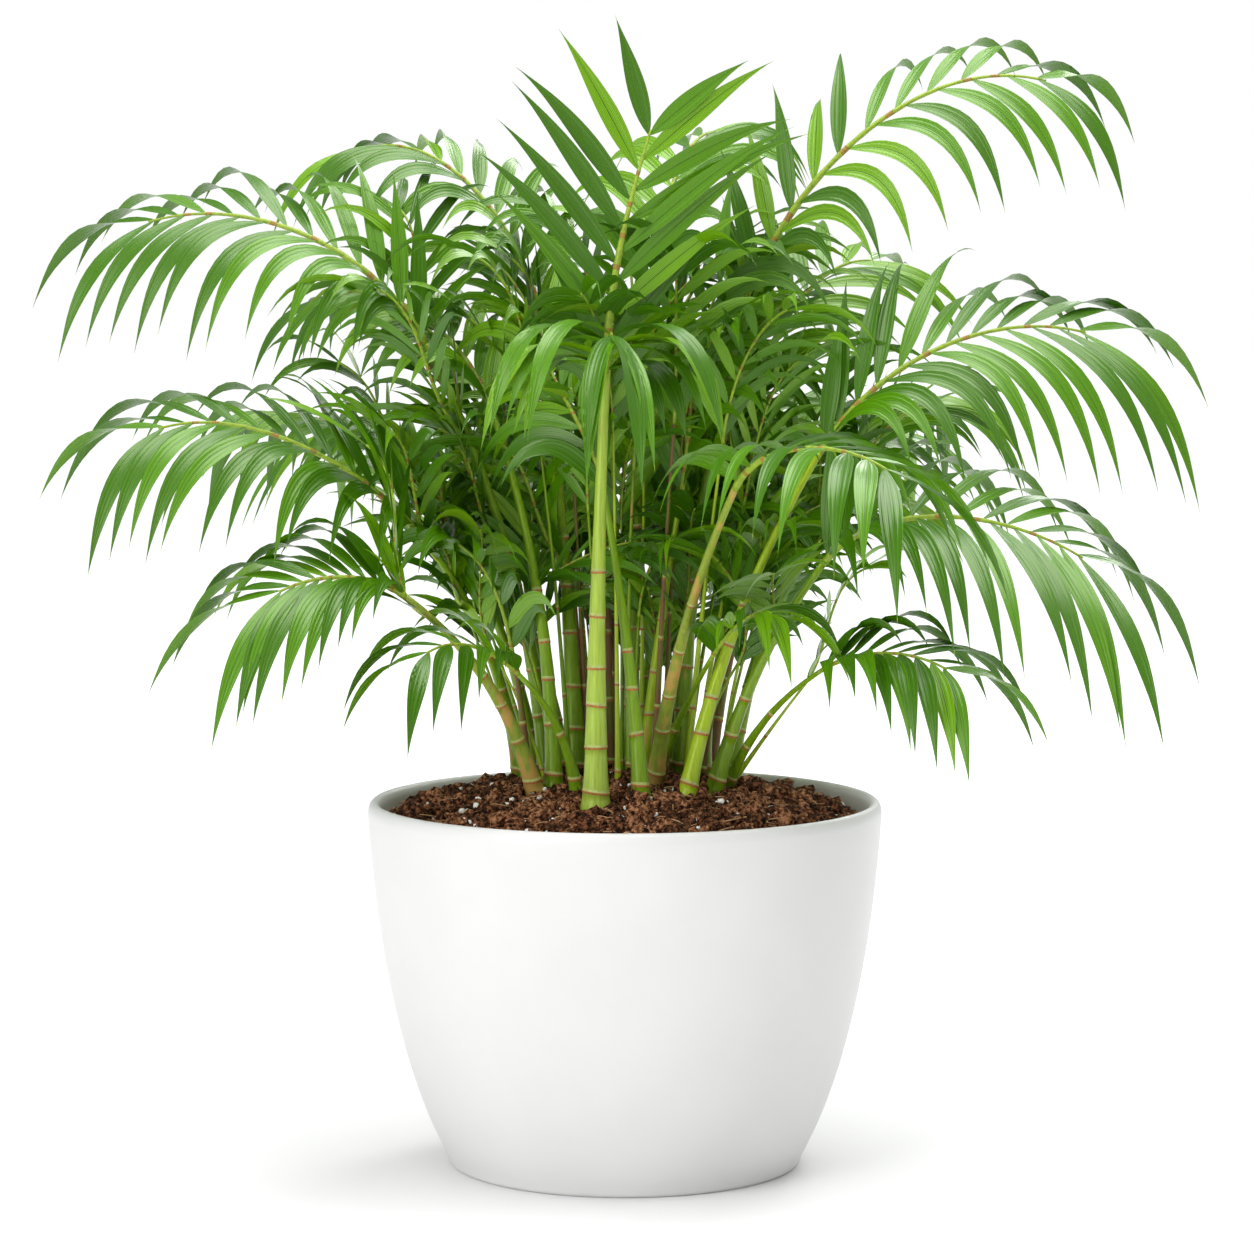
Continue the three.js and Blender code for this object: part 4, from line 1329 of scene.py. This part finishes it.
@dataclass
class YoungGrowth:
    """Thin young canes with a small frond each, and small fronds on the sides of the canes.

    They follow the same seeded rule as the large ones and stay inside the crown's reach.
    """

    name: str = "young"  # what its canes are named for
    stems: int = 20
    stem_seed: int = 4021
    spot: Pair = (2.0, 24.0)  # middle of the foot
    spot_radius: float = 58.0
    stem_thick: Pair = (3.6, 6.5)
    stem_top: Pair = (400.0, 550.0)
    stem_spread: Pair = (1.25, 1.75)  # how much further out a thin cane's top is than its foot
    stem_turn: float = 1.6  # radians between the furthest headings of its frond
    bow: float = 4.0
    rise: Pair = (42.0, 78.0)  # degrees above level from a small frond's foot
    droop: float = 24.0  # degrees that the end of a level one would point below level
    droop_less: float = 0.8  # how much less it does for each degree of rise
    roll: float = 60.0  # degrees between its furthest rolls
    least_pairs: int = 7
    pair_choices: int = 3
    span: Pair = (85.0, 135.0)  # from its foot to its tip
    leaf: Pair = (62.0, 90.0)
    width: Pair = (7.0, 9.0)
    sag: Pair = (0.9, 2.4)
    foot_lift: float = 24.0
    spread: float = 44.0
    # How lit the small fronds' leaflets are painted, as for a shoot's light
    light: Pair = (0.3, 0.75)
    side_shares: tuple[float, ...] = (0.5, 0.63, 0.76, 0.88)  # where they leave a cane's side
    share_jitter: float = 0.06
    lowest: float = 440.0  # no small frond leaves a cane in the clump's middle below this height
    outer_slope: float = 1.25  # how much lower one may leave for each step away from the middle
    front: float = 8.0  # nor further forward than this, so that the canes show
    front_width: float = 120.0  # but for this far out, where the crown's sides are
    side_turn: Pair = (0.2, 1.2)  # radians that one heads aside from straight outwards
    side_radius: float = 1.5
    side_climb: float = 0.9  # how much a frond follows its cane before it turns away

    # The last is the painted-shade skin, dealt to some thin canes
    TONES = (YELLOW, GREEN, DARK)

    def small_plan(self, name: str, start: Array, heading: float, thick: float,
                   foot: Pair, draw: Draw) -> Shoot:
        """Draws up a small frond.

        Args:
            name: The shoot's name.
            start: Where the frond's rib begins.
            heading: Direction that it grows in, seen from above, in radians.
            thick: Diameter of the cane that it tops, if it tops one.
            foot: Where that cane leaves the soil.
            draw: Source of its seeded differences.

        Returns:
            The plan.
        """
        rise, span = math.radians(within(self.rise, draw)), within(self.span, draw)
        ahead = level(heading) * math.cos(rise)
        tip = start + (ahead + UP * math.sin(rise)) * span
        fall = self.droop - math.degrees(rise) * self.droop_less
        return Shoot(name, thick, self.bow * draw(), foot, tuple(start), tuple(tip), fall,
                     self.least_pairs + int(self.pair_choices * draw()),
                     within(self.leaf, draw), roll=self.roll * (draw() - 0.5),
                     width=within(self.width, draw), slim=1.0, sag=within(self.sag, draw),
                     foot_lift=self.foot_lift, spread=self.spread,
                     tone=self.TONES[int(len(self.TONES) * draw())],
                     light=within(self.light, draw))

    def young_canes(self) -> Iterator[Shoot]:
        """Yields the plans of the thin canes, spread evenly over the clump's foot."""
        draw = repeatable(self.stem_seed)
        for number in range(self.stems):
            angle = number * math.pi * (3 - math.sqrt(5))  # the golden angle, as in a sunflower
            distance = self.spot_radius * math.sqrt((number + 0.5) / self.stems)
            x, y = self.spot + level(angle)[:2] * distance
            spread = within(self.stem_spread, draw)
            top = np.array([x * spread, y * spread, within(self.stem_top, draw)])
            heading = angle + self.stem_turn * (draw() - 0.5)
            yield self.small_plan(f"{self.name}_{number + 1:02d}", top, heading,
                                  within(self.stem_thick, draw), (x, y), draw)

    def side_fronds(self, cane: Cane, seed: int) -> Iterator[Frond]:
        """Yields the small fronds on one cane's sides, above the bare stretch.

        Args:
            cane: The cane that carries them.
            seed: Seed of their differences.
        """
        draw = repeatable(seed)
        for number, share in enumerate(self.side_shares):
            share += self.share_jitter * (draw() - 0.5)
            point, along = cane.line.at(share)
            side = 1 if (number + seed) % 2 else -1
            outwards = math.atan2(point[1] - self.spot[1], point[0])
            heading = outwards + side * within(self.side_turn, draw)
            aside = abs(point[0])
            hides = point[1] < self.front and aside < self.front_width
            if hides or point[2] < self.lowest - self.outer_slope * aside:
                continue
            name = f"{cane.plan.name}_side_{number + 1}"
            plan = self.small_plan(name, point, heading, 0.0, (0.0, 0.0), draw)
            direction = unit(level(heading) + along * self.side_climb)
            yield Frond(plan, point, direction, self.side_radius, seed + number)


@dataclass
class Palm:
    """The clump: canes, each with its frond, the whorl on the centre cane and young growth."""

    soil: SoilHeap
    fine_leaf: Template = field(default_factory=lambda: LeafletShape.template(LeafletShape.FINE))
    small_leaf: Template = field(default_factory=lambda: LeafletShape.template(LeafletShape.COARSE))

    WHORL = Shoot("centre_whorl", 4.4, 0, (0, 0), (0, 0, 0), (-8, -150, 566), 20, 5, 136, sag=7,
                  spread=72, spread_end=10, lift=4, foot_lift=10, twist=110, width=18, slim=0.95)
    WHORL_SHARE = 0.975  # of the centre cane, where the whorl leaves it
    WHORL_RISE = 20.0  # degrees
    WHORL_SEED = 77
    # Leaflets on the whorl's rib, in the gaps between its own
    BETWEEN = replace(WHORL, name="between", pairs=3, leaf=112, width=13, sag=5.5, lift=-6)
    BETWEEN_SEED = 131
    SHARED = 12  # small fronds joined in one piece
    # Name, canes, seed, middle and radius of the foot, and height of the canes of each low tuft
    TUFTS = (("low", 16, 977, (12.0, 48.0), 44.0, (320.0, 450.0)),
             ("right_tuft", 6, 641, (58.0, -4.0), 15.0, (310.0, 390.0)),
             ("left_tuft", 6, 353, (-55.0, 12.0), 15.0, (310.0, 390.0)))

    def whorl(self, cane: Cane) -> Frond:
        """Returns the young frond that leaves the side of the centre cane."""
        rise, radius = math.radians(self.WHORL_RISE), self.WHORL.thick / 2
        stand_off = cane.radius(self.WHORL_SHARE) + RULE.clearance + radius * math.sin(rise)
        start = cane.line.at(self.WHORL_SHARE)[0] - BACK * stand_off
        direction = UP * math.sin(rise) - BACK * math.cos(rise)
        return Frond(self.WHORL, start, direction, radius, self.WHORL_SEED)

    def dress(self, name: str, fronds: Sequence[Frond], leaf: Template,
              between: Sequence[Frond] = ()) -> list[Object]:
        """Makes the two pieces of some fronds: the leaflets and the ribs.

        Args:
            name: What the pieces are named for.
            fronds: The fronds that are joined in them.
            leaf: The leaflet that is bent along every line.
            between: Fronds on the same ribs, of which only the leaflets are made.

        Returns:
            Both pieces.
        """
        bed, bm = Bed(), bmesh.new()
        for frond in [*fronds, *between]:
            frond.grow_leaflets(bed, leaf)
        for frond in fronds:
            frond.rib(bm)
        greens = [tone.value for tone in LeafTone]
        leaflets = new_piece(f"leaflets_{name}", bed.mesh(LEAF_MAP), [*greens, LEAF_FURROW_SHADE])
        ribs = new_piece(f"rib_{name}", mesh_from(bm), [RIB_SKIN, RIB_JOINT])
        return [piece for piece in (leaflets, ribs)]

    def dress_node(self, frond: Frond, between: Sequence[Frond] = ()) -> None:
        """Makes a frond's pieces in the solid frond's place."""
        for piece in self.dress(frond.plan.name, [frond], self.fine_leaf, between):
            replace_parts(piece, f"frond_{frond.plan.name}")

    @staticmethod
    def top_frond(cane: Cane, seed: int) -> Frond:
        """Returns the frond at a cane's tip."""
        point, along = cane.line.at(1.0)
        radius = cane.plan.thick * RULE.cane_taper / 2
        return Frond(cane.plan, point + along * RULE.clearance, along, radius, seed)

    def build(self) -> None:
        """Makes every cane and frond, and the young growth between them."""
        young = YoungGrowth()
        tufts = [
            YoungGrowth(name, stems, seed, spot, radius, stem_thick=(3.2, 5.0), stem_top=top,
                        span=(64.0, 100.0), leaf=(50.0, 78.0))
            for name, stems, seed, spot, radius, top in self.TUFTS
        ]
        small: list[Frond] = []
        for order, plan in enumerate(SHOOTS):
            cane = Cane(plan, self.soil)
            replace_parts(cane.build(), f"cane_{plan.name}")
            seed = RULE.first_seed + RULE.seed_step * order
            self.dress_node(self.top_frond(cane, seed))
            if order == 0:
                whorl = self.whorl(cane)
                between = Frond(self.BETWEEN, whorl.start, whorl.direction, whorl.radius,
                                self.BETWEEN_SEED)
                self.dress_node(whorl, [between])
            small += young.side_fronds(cane, seed + 7)
        for growth in (young, *tufts):
            for order, plan in enumerate(growth.young_canes()):
                cane = Cane(plan, self.soil, sides=10, internode=(34.0, 60.0))
                cane.build()
                small.append(self.top_frond(cane, growth.stem_seed + order))
        for part in range(0, len(small), self.SHARED):
            self.dress(f"young_fronds_{part // self.SHARED + 1}", small[part:part + self.SHARED],
                       self.small_leaf)


def main() -> None:
    """Builds the studio, the planter, the soil and the palm."""
    logging.basicConfig(level=logging.INFO, format="%(message)s")
    solid_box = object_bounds()
    soil = SoilHeap(Planter())
    for thing in (Studio(), soil.planter, soil, Palm(soil)):
        thing.build()
    boxes = {"cad": solid_box, "visual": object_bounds()}
    {name: [list(corner) for corner in box] for name, box in boxes.items()}
    log.info("boxes: %s", boxes)


if __name__ == "__main__":
    main()
